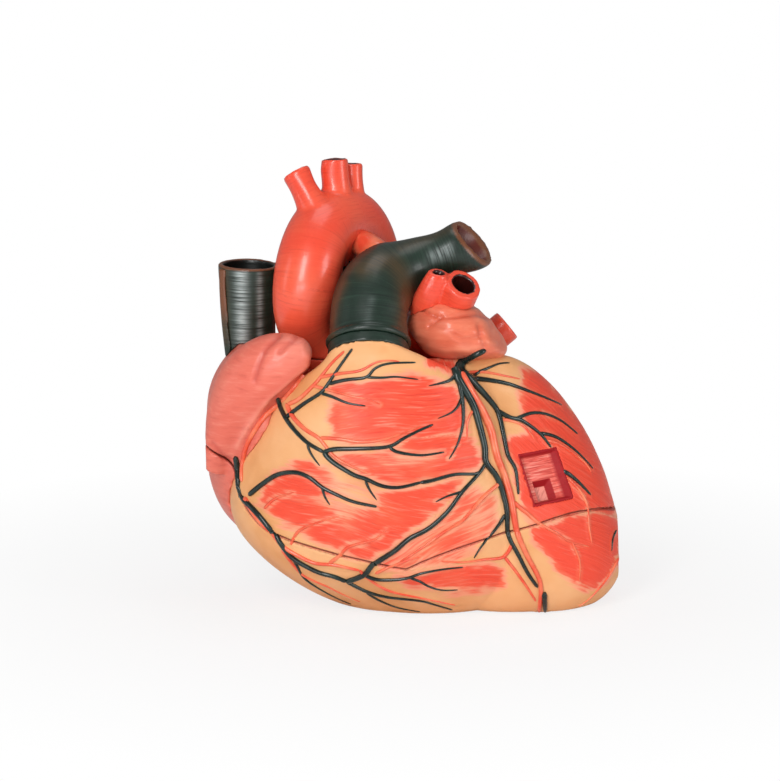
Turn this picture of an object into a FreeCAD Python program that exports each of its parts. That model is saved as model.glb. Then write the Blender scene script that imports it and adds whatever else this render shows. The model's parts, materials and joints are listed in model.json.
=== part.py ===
"""Dissectible heart model for the classroom, a little over twice natural size.

The frame is in millimetres: +Z up, +Y towards the back of the heart, +X towards its left side (the viewer's
right). The origin is on the table, under the middle of the model.

The model comes apart three ways: the upper heart lifts off the lower section at a curved seam through
both ventricles, and the great vessels lift off their two valve seats.
"""

import FreeCAD, Part
import math
import os

Vec = FreeCAD.Vector

# Overall size. Every organic form and every position is a share of these three.
WIDTH = 260.0  # right atrium to apex
DEPTH = 165.0  # front wall to back wall
HEIGHT = 283.0  # table to the top of the carotid stub

# Walls
RIGHT_WALL = 9.0  # right ventricle
LEFT_WALL = 19.0  # left ventricle, about twice the right
ATRIUM_WALL = 6.0
VESSEL_WALL = 3.2

# Great vessels, outer radii
TRUNK_RADIUS = 26.5  # pulmonary trunk at its lip
TRUNK_FOOT_RADIUS = 25.2  # just above the lip
TRUNK_WAIST = 22.5
TRUNK_STRAIGHT = 16.0  # before the trunk bends back
TRUNK_LIP = 2.2  # rounded lip round the trunk's foot, half its height
TRUNK_LIP_ROUND = 0.9  # how round the lip is, a share of that
LUNG_LEFT_RADIUS = 16.0
LUNG_RIGHT_RADIUS = 12.5
ROOT_RADIUS = 16.5  # aorta at its seat
AORTA_FOOT_RADIUS = 17.5  # above the seat
AORTA_RADIUS = 21.0  # at its widest, where the arch begins
ARCH_RADIUS = 19.5  # behind the branches
ARCH_END_RADIUS = 15.5
BRACHIOCEPHALIC_RADIUS = 9.3
CAROTID_RADIUS = 8.3
SUBCLAVIAN_RADIUS = 6.8
BRANCH_FLARE = 1.35  # how much wider a branch is where it leaves the arch
BRANCH_WALL = 2.4
UPPER_CAVA_RADIUS = 18.5
UPPER_CAVA_TAPER = [0.86, 0.88, 0.95, 1.0]  # its radius from the atrium up, shares of that
LOWER_CAVA_RADIUS = 12.5
LIGAMENT_RADIUS = 3.0
CAVA_RIB = 4.0  # azygos vein, a rib down the outside of the upper cava
CAVA_RIB_SINK = 1.6  # how far its middle lies inside the cava's outside
CAVA_RIB_TURN = 29.0  # degrees from the cava's right side towards the front

# Lung veins: outer radius and bore radius
BIG_VEIN_RADIUS = 11.5
BIG_VEIN_BORE = 7.0
SMALL_VEIN_RADIUS = 5.8
SMALL_VEIN_BORE = 2.7
SIDE_VEIN_RADIUS = 10.2
SIDE_VEIN_BORE = 6.5
RIGHT_VEIN_RADIUS = 9.0
RIGHT_VEIN_BORE = 5.8
VEIN_FOOT = 4.5  # how much wider the left upper veins are at their foot

# Valve seats and valves
SEAT_HEIGHT = 6.5
SEAT_STEP = 1.4  # how far the trunk stands out over its seat
TRUNK_LEAN = 35.0  # degrees that the trunk's seat leans back
SPIGOT_HEIGHT = 4.0  # collar that locates the aorta on its seat
SPIGOT_WALL = 2.4
SPIGOT_CLEARANCE = 0.3
VESSEL_GAP = 0.3  # between the seats and the vessels that stand on them
LEAFLET = 1.5  # thickness of a valve flap
LEAFLET_SLIT = 1.2
SLIT_TURN = 30.0  # degrees to a valve's first slit
CUSPS = 3
MITRAL_FLAPS = 2
TRICUSPID_FLAPS = 3
CUSP_SAG = 0.22  # depth of a pocket cusp, a share of the artery's bore radius
FUNNEL = 0.55  # mouth of a valve between an atrium and a ventricle, a share of its radius
MITRAL_RADIUS = 16.0
TRICUSPID_RADIUS = 14.0
MITRAL_DROP = 20.0  # how far the flaps hang
TRICUSPID_DROP = 16.0
VALVE_RISE = 2.0  # collar of those valves above the middle of its orifice
CORD_RADIUS = 0.8
CORD_GRIP = 3.0  # how far up a flap its cords are set
CORD_SPREAD = 29.0  # degrees between the cords of one muscle
CORDS_PER_MUSCLE = 3
LEFT_MUSCLE_RADIUS = 8.0  # papillary muscles, at their foot
RIGHT_MUSCLE_RADIUS = 7.0
MUSCLE_TAPER = [(0.0, 1.0), (0.5, 0.8), (0.85, 0.62), (1.0, 0.3)]  # (share of the length, of the radius)
BAND_RADIUS = 3.6  # moderator band across the right ventricle

# Seam between the upper heart and the lower section
SEAM_GAP = 0.8
PIN_RADIUS = 2.5
PIN_DEPTH = 10.0  # glued into the lower section
PIN_RISE = 8.0  # stands up into the upper heart
PIN_CLEARANCE = 0.25
PIN_END_ROOM = 1.0

# Coronary vessels, radii at their start
ARTERY_RADIUS = 2.3
VEIN_RADIUS = 2.6
TWIG_RADIUS = 1.8
SINUS_RADIUS = 4.5

# Window cut in the left ventricle's wall, showing the muscle layers
WINDOW_WIDTH = 24.0
WINDOW_HEIGHT = 30.0
WINDOW_STEP = 4.5  # depth of each layer
WINDOW_INNER_WIDTH = 10.5
WINDOW_INNER_HEIGHT = 14.5
WINDOW_SILL = 1.8  # left below the inner step
WINDOW_TURN = -13.0  # degrees, about the front-to-back axis
WINDOW_CLEAR = 20.0  # how far the cuts stand out of the wall
WINDOW_PROBE = 4.0  # how far beside the window's middle the wall is felt for its slope

RING_POINTS = 12
TUBE_POINTS = 8
FAR = 400.0  # longer than anything here, for cutting solids
CLEAR = 2.0  # how far a bore's cut stands out of the mouth that it opens


def at(x, y, z):
    """A point given as shares of the overall width, depth and height."""
    return Vec(x * WIDTH, y * DEPTH, z * HEIGHT)


# Organic forms: (height, left, right, front, back, lean), shares of HEIGHT, WIDTH and DEPTH; lean in degrees.
RIGHT_VENTRICLE = [
    (0.000, -0.162, 0.231, -0.242, 0.273, 0),
    (0.042, -0.231, 0.300, -0.339, 0.333, 0),
    (0.106, -0.327, 0.331, -0.436, 0.364, 0),
    (0.194, -0.412, 0.323, -0.491, 0.364, 0),
    (0.300, -0.423, 0.292, -0.500, 0.315, 0),
    (0.406, -0.381, 0.238, -0.485, 0.212, 0),
    (0.495, -0.308, 0.169, -0.448, 0.073, 12),
    (0.548, -0.242, 0.096, -0.430, -0.085, 27),
]
LEFT_VENTRICLE = [
    (0.000, 0.058, 0.415, -0.218, 0.291, 0),
    (0.035, 0.019, 0.469, -0.291, 0.364, 0),
    (0.099, -0.019, 0.498, -0.339, 0.424, 0),
    (0.177, -0.058, 0.488, -0.364, 0.467, 0),
    (0.265, -0.085, 0.456, -0.364, 0.491, 0),
    (0.353, -0.100, 0.410, -0.327, 0.497, 0),
    (0.442, -0.100, 0.342, -0.255, 0.485, 8),
    (0.485, -0.085, 0.292, -0.212, 0.455, 16),
    (0.509, -0.031, 0.223, -0.145, 0.376, 22),
]
RIGHT_ATRIUM = [
    (0.141, -0.385, -0.223, -0.012, 0.279, 0),
    (0.184, -0.435, -0.192, -0.097, 0.364, 0),
    (0.247, -0.477, -0.177, -0.170, 0.412, 0),
    (0.339, -0.496, -0.169, -0.242, 0.436, 0),
    (0.442, -0.500, -0.238, -0.279, 0.424, 0),
    (0.512, -0.477, -0.308, -0.279, 0.364, 0),
    (0.555, -0.444, -0.323, -0.230, 0.279, 0),
    (0.580, -0.419, -0.335, -0.158, 0.225, 0),
]
LEFT_ATRIUM = [
    (0.382, -0.115, 0.146, 0.182, 0.461, 0),
    (0.442, -0.169, 0.204, 0.109, 0.494, 0),
    (0.520, -0.185, 0.212, 0.048, 0.500, 0),
    (0.585, -0.169, 0.185, 0.036, 0.473, 0),
    (0.613, -0.115, 0.140, 0.085, 0.400, 0),
]
LEFT_AURICLE = [
    (0.562, 0.031, 0.227, -0.170, 0.121, 0),
    (0.590, 0.008, 0.235, -0.235, 0.140, 0),
    (0.625, -0.004, 0.215, -0.255, 0.130, 0),
    (0.660, -0.004, 0.177, -0.240, 0.091, 0),
    (0.690, 0.015, 0.138, -0.190, 0.036, 0),
]
# Right auricle: (x, y, z, radius in mm) along its length, tip last
RIGHT_AURICLE = [
    (-0.462, -0.085, 0.314, 10.0),
    (-0.442, -0.133, 0.413, 15.5),
    (-0.394, -0.182, 0.502, 21.5),
    (-0.334, -0.242, 0.562, 20.5),
    (-0.283, -0.291, 0.593, 13.5),
    (-0.252, -0.315, 0.607, 5.5),
]

TRUNK_SEAT = at(-0.108, -0.291, 0.587)  # where the conus ends and the trunk's seat begins
ROOT_SEAT = at(-0.208, 0.012, 0.530)  # where the outflow of the left ventricle ends

# Seam: (x, z) along the front, the two halves meeting in a notch under the right ventricle
SEAM_RIGHT = [(-0.508, 0.375), (-0.473, 0.357), (-0.427, 0.329), (-0.404, 0.283), (-0.365, 0.233),
              (-0.273, 0.194), (-0.173, 0.164), (-0.019, 0.129)]
SEAM_LEFT = [(-0.019, 0.129), (0.085, 0.170), (0.177, 0.192), (0.296, 0.215), (0.354, 0.226), (0.412, 0.225),
             (0.454, 0.214), (0.485, 0.193), (0.515, 0.166)]


def closed_curve(points):
    curve = Part.BSplineCurve()
    curve.interpolate(points, PeriodicFlag=True)
    return Part.Wire([curve.toShape()])


def level_ring(station, inset=0.0, rise=0.0):
    """A closed oval at one height, drawn in by inset and moved up by rise."""
    z, left, right, front, back, lean = station
    x0, x1 = left * WIDTH + inset, right * WIDTH - inset
    y0, y1 = front * DEPTH + inset, back * DEPTH - inset
    tilt = math.radians(lean)
    points = []
    for i in range(RING_POINTS):
        turn = 2 * math.pi * i / RING_POINTS
        across = (x1 - x0) / 2 * math.cos(turn)
        along = (y1 - y0) / 2 * math.sin(turn)
        points.append(Vec((x0 + x1) / 2 + across, (y0 + y1) / 2 + along * math.cos(tilt),
                          z * HEIGHT + rise - along * math.sin(tilt)))
    return closed_curve(points)


def form(stations, inset=0.0, top=()):
    """A smooth solid through level rings. An inset one is the hollow that leaves a wall of that thickness."""
    last = len(stations) - 1
    rings = []
    for i, station in enumerate(stations):
        rise = inset if i == 0 else -inset if i == last and not top else 0.0
        rings.append(level_ring(station, inset, rise))
    return Part.makeLoft(rings + list(top), True, False)


def frames(path):
    """(point, tangent, side) along a path, the side carried along so that a loft doesn't twist."""
    found = []
    side = Vec(0, 1, 0)
    for i, point in enumerate(path):
        tangent = path[min(i + 1, len(path) - 1)] - path[max(i - 1, 0)]
        tangent.normalize()
        side = side - tangent * side.dot(tangent)
        if side.Length < 0.1:
            side = Vec(1, 0, 0) - tangent * tangent.x
        side.normalize()
        found.append((point, tangent, Vec(side)))
    return found


def round_ring(centre, normal, side, radius):
    other = normal.cross(side)
    points = []
    for i in range(TUBE_POINTS):
        turn = 2 * math.pi * i / TUBE_POINTS
        points.append(centre + side * (radius * math.cos(turn)) + other * (radius * math.sin(turn)))
    return closed_curve(points)


def rod(path, radii, start=None, end=None):
    """A solid of round section along a path. start and end fix the normals of its two ends."""
    rings = []
    given = {0: start, len(path) - 1: end}
    for i, ((point, tangent, side), radius) in enumerate(zip(frames(path), radii)):
        if given.get(i) is not None:
            tangent = given[i]
            side = side - tangent * side.dot(tangent)
            side.normalize()
        rings.append(round_ring(point, tangent, side, radius))
    return Part.makeLoft(rings, True, False)


def longer(path, before, after):
    """The path with its ends pushed out, so that a bore cuts clean through them."""
    first = path[0] - path[1]
    last = path[-1] - path[-2]
    first.normalize()
    last.normalize()
    return [path[0] + first * before] + path[1:-1] + [path[-1] + last * after]


def largest(shape):
    return max(shape.Solids, key=lambda solid: solid.Volume)


def joined(shapes):
    first, *rest = shapes
    return first.fuse(rest).removeSplitter() if rest else first


def group(shapes):
    return Part.makeCompound([solid for shape in shapes for solid in shape.Solids])


def below_seam(lift):
    """Everything below the seam, which is raised by lift."""
    edges = []
    for half in (SEAM_RIGHT, SEAM_LEFT):
        curve = Part.BSplineCurve()
        curve.interpolate([Vec(x * WIDTH, -FAR, z * HEIGHT + lift) for x, z in half])
        edges.append(curve.toShape())
    first = edges[0].Vertexes[0].Point
    last = edges[1].Vertexes[-1].Point
    corners = [last, Vec(FAR, -FAR, last.z), Vec(FAR, -FAR, -FAR), Vec(-FAR, -FAR, -FAR),
               Vec(-FAR, -FAR, first.z), first]
    edges += [Part.makeLine(a, b) for a, b in zip(corners, corners[1:])]
    return Part.Face(Part.Wire(edges)).extrude(Vec(0, 2 * FAR, 0))


def seam_height(x):
    """Height of the seam at a width x, straight between its points."""
    points = [(px * WIDTH, pz * HEIGHT) for px, pz in SEAM_RIGHT + SEAM_LEFT[1:]]
    for (x0, z0), (x1, z1) in zip(points, points[1:]):
        if x0 <= x <= x1:
            return z0 + (z1 - z0) * (x - x0) / (x1 - x0)
    return points[-1][1]


def wall_point(stations, turn, inset):
    """A point on the seam, inside a form's wall, at turn degrees round it from +X."""
    angle = math.radians(turn)
    point = Vec(0, 0, stations[len(stations) // 2][0] * HEIGHT)
    for _ in range(6):  # the seam's height depends on x and the wall's x on the height
        for low, high in zip(stations, stations[1:]):
            if low[0] * HEIGHT <= point.z <= high[0] * HEIGHT:
                share = (point.z - low[0] * HEIGHT) / ((high[0] - low[0]) * HEIGHT)
                left, right, front, back = (a + (b - a) * share for a, b in zip(low[1:5], high[1:5]))
                x0, x1, y0, y1 = left * WIDTH, right * WIDTH, front * DEPTH, back * DEPTH
                point.x = (x0 + x1) / 2 + ((x1 - x0) / 2 - inset) * math.cos(angle)
                point.y = (y0 + y1) / 2 + ((y1 - y0) / 2 - inset) * math.sin(angle)
                break
        point.z = seam_height(point.x)
    return point


def revolved_flaps(profile, count, slit):
    """A thin wall turned about Z and slit into count flaps."""
    wire = Part.makePolygon(profile + [profile[0]])
    ring = Part.Face(wire).revolve(Vec(0, 0, 0), Vec(0, 0, 1), 360)
    reach = max(p.x for p in profile) + CLEAR
    low = min(p.z for p in profile) - CLEAR
    high = max(p.z for p in profile) + CLEAR
    cuts = []
    for i in range(count):
        cut = Part.makeBox(reach, slit, high - low, Vec(0, -slit / 2, low))
        cut.rotate(Vec(0, 0, 0), Vec(0, 0, 1), 360.0 * i / count + SLIT_TURN)
        cuts.append(cut)
    return ring.cut(cuts)


def hanging_flaps(radius, drop, count):
    """Flaps of a valve between an atrium and a ventricle: a collar in the orifice and a funnel below it."""
    mouth = FUNNEL * radius
    collar = SEAT_HEIGHT / 2
    outside = [Vec(radius, 0, 0), Vec(radius, 0, -collar), Vec(mouth + LEAFLET, 0, -drop)]
    inside = [Vec(mouth, 0, -drop), Vec(radius - LEAFLET, 0, -collar), Vec(radius - LEAFLET, 0, 0)]
    profile = outside + inside
    return revolved_flaps(profile, count, LEAFLET_SLIT)


def pocket_cusps(radius):
    """Three pockets of a valve at the foot of an artery: a shallow dish, slit in three."""
    sag = CUSP_SAG * radius
    rows = 6
    under = [Vec(radius * math.sin(a), 0, -sag * math.cos(a)) for a in
             [math.pi / 2 * i / rows for i in range(rows + 1)]]
    over = [Vec(max(p.x - LEAFLET * p.x / radius, 0), 0, p.z + LEAFLET) for p in under]
    profile = under + [over[-1]] + over[-2::-1]
    return revolved_flaps(profile, CUSPS, LEAFLET_SLIT)


def place(shape, origin, direction):
    """Moves a shape made about +Z at the origin so that +Z lies along direction at that point."""
    turn = FreeCAD.Rotation(Vec(0, 0, 1), direction)
    moved = shape.copy()
    moved.Placement = FreeCAD.Placement(origin, turn)
    return moved


# Outer forms
def slanted_ring(centre, radius, lean):
    tilt = math.radians(lean)
    turns = [2 * math.pi * i / RING_POINTS for i in range(RING_POINTS)]
    return closed_curve([centre + Vec(radius * math.cos(a), radius * math.sin(a) * math.cos(tilt),
                                      -radius * math.sin(a) * math.sin(tilt)) for a in turns])


trunk_axis = Vec(0, math.sin(math.radians(TRUNK_LEAN)), math.cos(math.radians(TRUNK_LEAN)))
seat_radius = TRUNK_RADIUS - SEAT_STEP
seat_bore = seat_radius - VESSEL_WALL
root_bore = ROOT_RADIUS - VESSEL_WALL

right_form = form(RIGHT_VENTRICLE, top=[slanted_ring(TRUNK_SEAT, seat_radius, TRUNK_LEAN)])
left_form = form(LEFT_VENTRICLE)
upright = Vec(0, 0, 1)
outflow_path = [at(-0.046, 0.067, 0.371), at(-0.138, 0.042, 0.424), at(-0.192, 0.021, 0.478), ROOT_SEAT]
outflow_form = rod(outflow_path, [ROOT_RADIUS] * 4, end=upright)
heart_form = right_form.fuse([left_form, outflow_form])
atrium_form = form(RIGHT_ATRIUM)

# Hollows. The right ventricle's stops at the left one's wall, which is the septum between them.
right_hollow = form(RIGHT_VENTRICLE, RIGHT_WALL, [slanted_ring(TRUNK_SEAT, seat_bore, TRUNK_LEAN)])
right_hollow = right_hollow.cut([left_form, outflow_form])
left_hollow = form(LEFT_VENTRICLE, LEFT_WALL)
outflow_bore = rod(outflow_path[:-1] + [ROOT_SEAT + upright], [root_bore] * 4, end=upright)

# Openings between the atria and the ventricles
tricuspid_centre = at(-0.285, 0.075, 0.36)
tricuspid_axis = Vec(-0.75, 0.62, 0.25)
mitral_centre = at(0.100, 0.215, 0.475)
mitral_axis = Vec(0.05, 0.42, 0.90)
tricuspid_axis.normalize()
mitral_axis.normalize()


def orifice(centre, axis, radius, reach):
    return Part.makeCylinder(radius, 2 * reach, centre - axis * reach, axis)


tricuspid_orifice = orifice(tricuspid_centre, tricuspid_axis, TRICUSPID_RADIUS, RIGHT_WALL + ATRIUM_WALL)
mitral_orifice = orifice(mitral_centre, mitral_axis, MITRAL_RADIUS, LEFT_WALL + ATRIUM_WALL / 2)

hollows = [right_hollow, left_hollow, outflow_bore, tricuspid_orifice, mitral_orifice]
lower_half = below_seam(0)
lower_half_and_gap = below_seam(SEAM_GAP)


def front_point(solid, x, z, back=False):
    """The first point of a solid met along Y at a width and height, from the front or from the back."""
    cut = Part.makeLine(Vec(x, -FAR, z), Vec(x, FAR, z)).common(solid)
    depths = [vertex.Point.y for vertex in cut.Vertexes]
    if not depths:
        return None
    return Vec(x, max(depths) if back else min(depths), z)


# Window in the left ventricle
window_centre = front_point(left_form, 0.316 * WIDTH, 0.318 * HEIGHT)
aside = front_point(left_form, window_centre.x + WINDOW_PROBE, window_centre.z) - window_centre
upward = front_point(left_form, window_centre.x, window_centre.z + WINDOW_PROBE) - window_centre
window_axis = upward.cross(aside)
window_axis.normalize()
if window_axis.y > 0:
    window_axis = -window_axis
window_side = Vec(0, 0, 1).cross(window_axis)
window_side.normalize()
window_frame = FreeCAD.Rotation(window_side, window_axis.cross(window_side), window_axis, "ZXY")


def window_box(width, height, low, high, drop=0.0):
    """A block square to the wall at the window, from low to high along the wall's outward direction."""
    box = Part.makeBox(width, height, high - low, Vec(-width / 2, -height / 2 - drop, low))
    box.rotate(Vec(0, 0, 0), Vec(0, 0, 1), -WINDOW_TURN)
    return place_framed(box, window_centre, window_frame)


def place_framed(shape, origin, turn):
    moved = shape.copy()
    moved.Placement = FreeCAD.Placement(origin, turn).multiply(shape.Placement)
    return moved


inner_drop = (WINDOW_HEIGHT - WINDOW_INNER_HEIGHT) / 2 - WINDOW_SILL
first_step = window_box(WINDOW_WIDTH, WINDOW_HEIGHT, -WINDOW_STEP, WINDOW_CLEAR)
second_step = window_box(WINDOW_INNER_WIDTH, WINDOW_INNER_HEIGHT, -2 * WINDOW_STEP, WINDOW_CLEAR, inner_drop)
window_cuts = [first_step, second_step]

# Pins through the seam
pin_spots = [wall_point(RIGHT_VENTRICLE, 165, RIGHT_WALL / 2), wall_point(LEFT_VENTRICLE, -20, LEFT_WALL / 2),
             wall_point(LEFT_VENTRICLE, 80, LEFT_WALL / 2)]


def pins(radius, low, high):
    return [Part.makeCylinder(radius, high - low, spot + Vec(0, 0, low)) for spot in pin_spots]


pin_pieces = pins(PIN_RADIUS, -PIN_DEPTH, PIN_RISE)
pin_sockets = pins(PIN_RADIUS, -PIN_DEPTH, PIN_DEPTH)
pin_holes = pins(PIN_RADIUS + PIN_CLEARANCE, -PIN_DEPTH, PIN_RISE + PIN_END_ROOM)

heart_shell = heart_form.cut(hollows + window_cuts)
ventricles_lower = largest(heart_shell.common(lower_half).cut(pin_sockets))
ventricles_upper = largest(heart_shell.cut([lower_half_and_gap] + pin_holes))

# Right atrium, its auricle and the two cavas
upper_cava_path = [at(-0.385, 0.10, 0.50), at(-0.396, 0.09, 0.60), at(-0.398, 0.09, 0.68),
                   at(-0.396, 0.09, 0.745)]
upper_cava_radii = [UPPER_CAVA_RADIUS * share for share in UPPER_CAVA_TAPER]
upper_cava_bore = rod(longer(upper_cava_path, 0, CLEAR), [r - VESSEL_WALL for r in upper_cava_radii])
lower_cava_path = [at(-0.300, 0.12, 0.21), at(-0.300, 0.22, 0.15), at(-0.295, 0.29, 0.09)]
lower_cava_bore = rod(longer(lower_cava_path, 0, CLEAR), [LOWER_CAVA_RADIUS - VESSEL_WALL] * 3)
atrium_hollow = form(RIGHT_ATRIUM, ATRIUM_WALL)

atrium_shell = atrium_form.cut([heart_form, atrium_hollow, tricuspid_orifice, upper_cava_bore,
                                lower_cava_bore])
right_atrium_lower = largest(atrium_shell.common(lower_half))
right_atrium_upper = largest(atrium_shell.cut(lower_half_and_gap))

upper_vena_cava = largest(rod(upper_cava_path, upper_cava_radii).cut([upper_cava_bore, atrium_form]))
lower_vena_cava = largest(rod(lower_cava_path, [LOWER_CAVA_RADIUS] * 3).cut([lower_cava_bore, atrium_form,
                                                                             heart_form]))
rib_turn = math.radians(CAVA_RIB_TURN)
rib_path = [point - Vec(math.cos(rib_turn), math.sin(rib_turn), 0) * (radius - CAVA_RIB_SINK)
            for point, radius in zip(upper_cava_path, upper_cava_radii)]
azygos_vein = largest(rod(rib_path, [CAVA_RIB] * len(rib_path)).cut([rod(upper_cava_path, upper_cava_radii),
                                                                      atrium_form]))

auricle_path = [at(x, y, z) for x, y, z, _ in RIGHT_AURICLE]
auricle_form = rod(auricle_path, [radius for _, _, _, radius in RIGHT_AURICLE])
auricle_shell = auricle_form.cut([heart_form, atrium_form])
right_auricle = largest(auricle_shell.cut(lower_half_and_gap))
right_atrium_lower = largest(right_atrium_lower.fuse(auricle_shell.common(lower_half)))

# Left atrium with its auricle and lung veins
left_atrium_form = form(LEFT_ATRIUM)
left_auricle_form = form(LEFT_AURICLE)


def vein(path, radius, bore, foot=0.0):
    """(outer solid, bore) of a lung vein, wider by foot where it starts. The bore comes out at the mouth."""
    last = len(path) - 1
    radii = [radius + foot * (last - i) / last for i in range(len(path))]
    return rod(path, radii), rod(longer(path, 0, CLEAR), [bore] * len(path))


big_vein = vein([at(0.046, 0.073, 0.587), at(0.069, -0.048, 0.643), at(0.096, -0.121, 0.693),
                 at(0.119, -0.170, 0.734)], BIG_VEIN_RADIUS, BIG_VEIN_BORE, VEIN_FOOT)
small_vein = vein([at(0.015, 0.012, 0.594), at(0.027, -0.103, 0.661), at(0.046, -0.158, 0.710),
                   at(0.062, -0.176, 0.762)], SMALL_VEIN_RADIUS, SMALL_VEIN_BORE, VEIN_FOOT)
side_vein = vein([at(0.131, 0.158, 0.530), at(0.179, 0.173, 0.564), at(0.229, 0.188, 0.601)],
                 SIDE_VEIN_RADIUS, SIDE_VEIN_BORE)
right_veins = [vein([at(-0.120, 0.36, height), at(-0.230, 0.43, height - 0.007), at(-0.320, 0.44, height)],
                    RIGHT_VEIN_RADIUS, RIGHT_VEIN_BORE) for height in (0.575, 0.475)]

left_atrium_hollow = form(LEFT_ATRIUM, ATRIUM_WALL)
vein_bores = [big_vein[1], small_vein[1], side_vein[1]] + [bore for _, bore in right_veins]
left_atrium = largest(left_atrium_form.cut([heart_form, atrium_form, left_atrium_hollow, mitral_orifice]
                                           + vein_bores))
left_bodies = [left_atrium_form, heart_form, atrium_form]
left_lower_lung_vein = largest(side_vein[0].cut(left_bodies + [side_vein[1]]))
left_auricle = largest(left_auricle_form.cut(left_bodies + [side_vein[0]]))
left_upper_lung_veins = largest(big_vein[0].fuse(small_vein[0]).cut(
    left_bodies + [left_auricle_form, big_vein[1], small_vein[1]]))
right_upper_lung_vein, right_lower_lung_vein = [largest(outer.cut(left_bodies + [bore]))
                                                for outer, bore in right_veins]

# Seats of the two arteries, with their valves
pulmonary_seat = place(Part.makeCylinder(seat_radius, SEAT_HEIGHT).cut(
    Part.makeCylinder(seat_bore, SEAT_HEIGHT)), TRUNK_SEAT, trunk_axis)
pulmonary_valve = place(pocket_cusps(seat_bore), TRUNK_SEAT + trunk_axis * (SEAT_HEIGHT - 2 * LEAFLET),
                        trunk_axis)
aortic_seat = place(Part.makeCylinder(ROOT_RADIUS, SEAT_HEIGHT).cut(
    Part.makeCylinder(root_bore, SEAT_HEIGHT)), ROOT_SEAT, Vec(0, 0, 1))
aortic_valve = place(pocket_cusps(root_bore), ROOT_SEAT + Vec(0, 0, LEAFLET / 2), Vec(0, 0, 1))

# Valves between the atria and the ventricles, with their muscles and cords
tricuspid_valve = place(hanging_flaps(TRICUSPID_RADIUS, TRICUSPID_DROP, TRICUSPID_FLAPS),
                        tricuspid_centre + tricuspid_axis * VALVE_RISE, tricuspid_axis)
mitral_valve = place(hanging_flaps(MITRAL_RADIUS, MITRAL_DROP, MITRAL_FLAPS),
                     mitral_centre + mitral_axis * VALVE_RISE, mitral_axis)


def muscle(foot, tip, foot_radius, hollow):
    """A papillary muscle: a blunt cone that rises from a wall inside a ventricle."""
    path = [foot + (tip - foot) * way for way, _ in MUSCLE_TAPER]
    radii = [foot_radius * share for _, share in MUSCLE_TAPER]
    return largest(rod(path, radii).common(hollow))


mitral_tips = [at(0.225, 0.02, 0.335), at(0.040, 0.20, 0.335)]
mitral_feet = [at(0.330, -0.06, 0.250), at(-0.020, 0.27, 0.250)]
tricuspid_tips = [at(-0.20, -0.20, 0.300), at(-0.13, -0.05, 0.270)]
tricuspid_feet = [at(-0.24, -0.46, 0.215), at(-0.02, -0.09, 0.215)]


def cords(tips, centre, axis, mouth, drop, count):
    """Fine cords from each papillary muscle to the edge of the flaps."""
    side = Vec(0, 1, 0) - axis * axis.y
    side.normalize()
    other = axis.cross(side)
    edge = centre - axis * drop
    found = []
    for tip in tips:
        toward = tip - edge
        base = math.atan2(toward.dot(other), toward.dot(side))
        for i in range(count):
            turn = base + (i - (count - 1) / 2) * math.radians(CORD_SPREAD)
            end = edge + side * (mouth * math.cos(turn)) + other * (mouth * math.sin(turn))
            run = end - tip
            found.append(Part.makeCylinder(CORD_RADIUS, run.Length, tip, run))
    return found


mitral_muscles = group([muscle(foot, tip, LEFT_MUSCLE_RADIUS, left_hollow)
                        for foot, tip in zip(mitral_feet, mitral_tips)])
tricuspid_muscles = group([muscle(foot, tip, RIGHT_MUSCLE_RADIUS, right_hollow.cut(lower_half_and_gap))
                           for foot, tip in zip(tricuspid_feet, tricuspid_tips)])

mitral_mouth = FUNNEL * MITRAL_RADIUS + CORD_RADIUS
tricuspid_mouth = FUNNEL * TRICUSPID_RADIUS + CORD_RADIUS
mitral_cords = joined(cords(mitral_tips, mitral_centre, mitral_axis, mitral_mouth,
                            MITRAL_DROP - CORD_GRIP, CORDS_PER_MUSCLE))
tricuspid_cords = joined(cords(tricuspid_tips, tricuspid_centre, tricuspid_axis, tricuspid_mouth,
                               TRICUSPID_DROP - CORD_GRIP, CORDS_PER_MUSCLE))
band_path = [at(0.070, -0.140, 0.096), at(-0.060, -0.300, 0.094), at(-0.170, -0.420, 0.086)]
moderator_band = largest(rod(band_path, [BAND_RADIUS] * 3).common(right_hollow))

# Great vessels
clear_of_seat = TRUNK_SEAT + trunk_axis * (SEAT_HEIGHT + VESSEL_GAP)
trunk_path = [clear_of_seat, clear_of_seat + trunk_axis * TRUNK_STRAIGHT, at(-0.102, -0.150, 0.705),
              at(-0.050, -0.055, 0.752), at(0.038, -0.012, 0.777), at(0.141, 0.030, 0.807)]
trunk_mouth = Vec(0.76, -0.15, 0.63)
trunk_mouth.normalize()
trunk_radii = [TRUNK_FOOT_RADIUS, (TRUNK_FOOT_RADIUS + TRUNK_WAIST) / 2, TRUNK_WAIST,
               (TRUNK_WAIST + LUNG_LEFT_RADIUS) / 2, LUNG_LEFT_RADIUS, LUNG_LEFT_RADIUS]
lip_disc = Part.makeCylinder(TRUNK_RADIUS, 2 * TRUNK_LIP)
lip_edges = [edge for edge in lip_disc.Edges if len(edge.Vertexes) == 1]
trunk_lip = place(lip_disc.makeFillet(TRUNK_LIP_ROUND * TRUNK_LIP, lip_edges), clear_of_seat, trunk_axis)
trunk_form = rod(trunk_path, trunk_radii, trunk_axis, trunk_mouth).fuse(trunk_lip)
bore_path = [clear_of_seat - trunk_axis * CLEAR] + trunk_path[1:-1] + [trunk_path[-1] + trunk_mouth * CLEAR]
trunk_bore = rod(bore_path, [radius - VESSEL_WALL for radius in trunk_radii], trunk_axis, trunk_mouth)
right_lung_path = [at(-0.050, 0.000, 0.745), at(-0.110, 0.130, 0.715), at(-0.240, 0.215, 0.695),
                   at(-0.330, 0.305, 0.685), at(-0.385, 0.345, 0.680)]
right_lung_radii = [LUNG_RIGHT_RADIUS] * 5
right_lung_form = rod(right_lung_path, right_lung_radii)
right_lung_bore = rod(longer(right_lung_path, 0, CLEAR), [r - VESSEL_WALL for r in right_lung_radii])
pulmonary_trunk = largest(trunk_form.cut([trunk_bore, right_lung_bore]))
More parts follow.
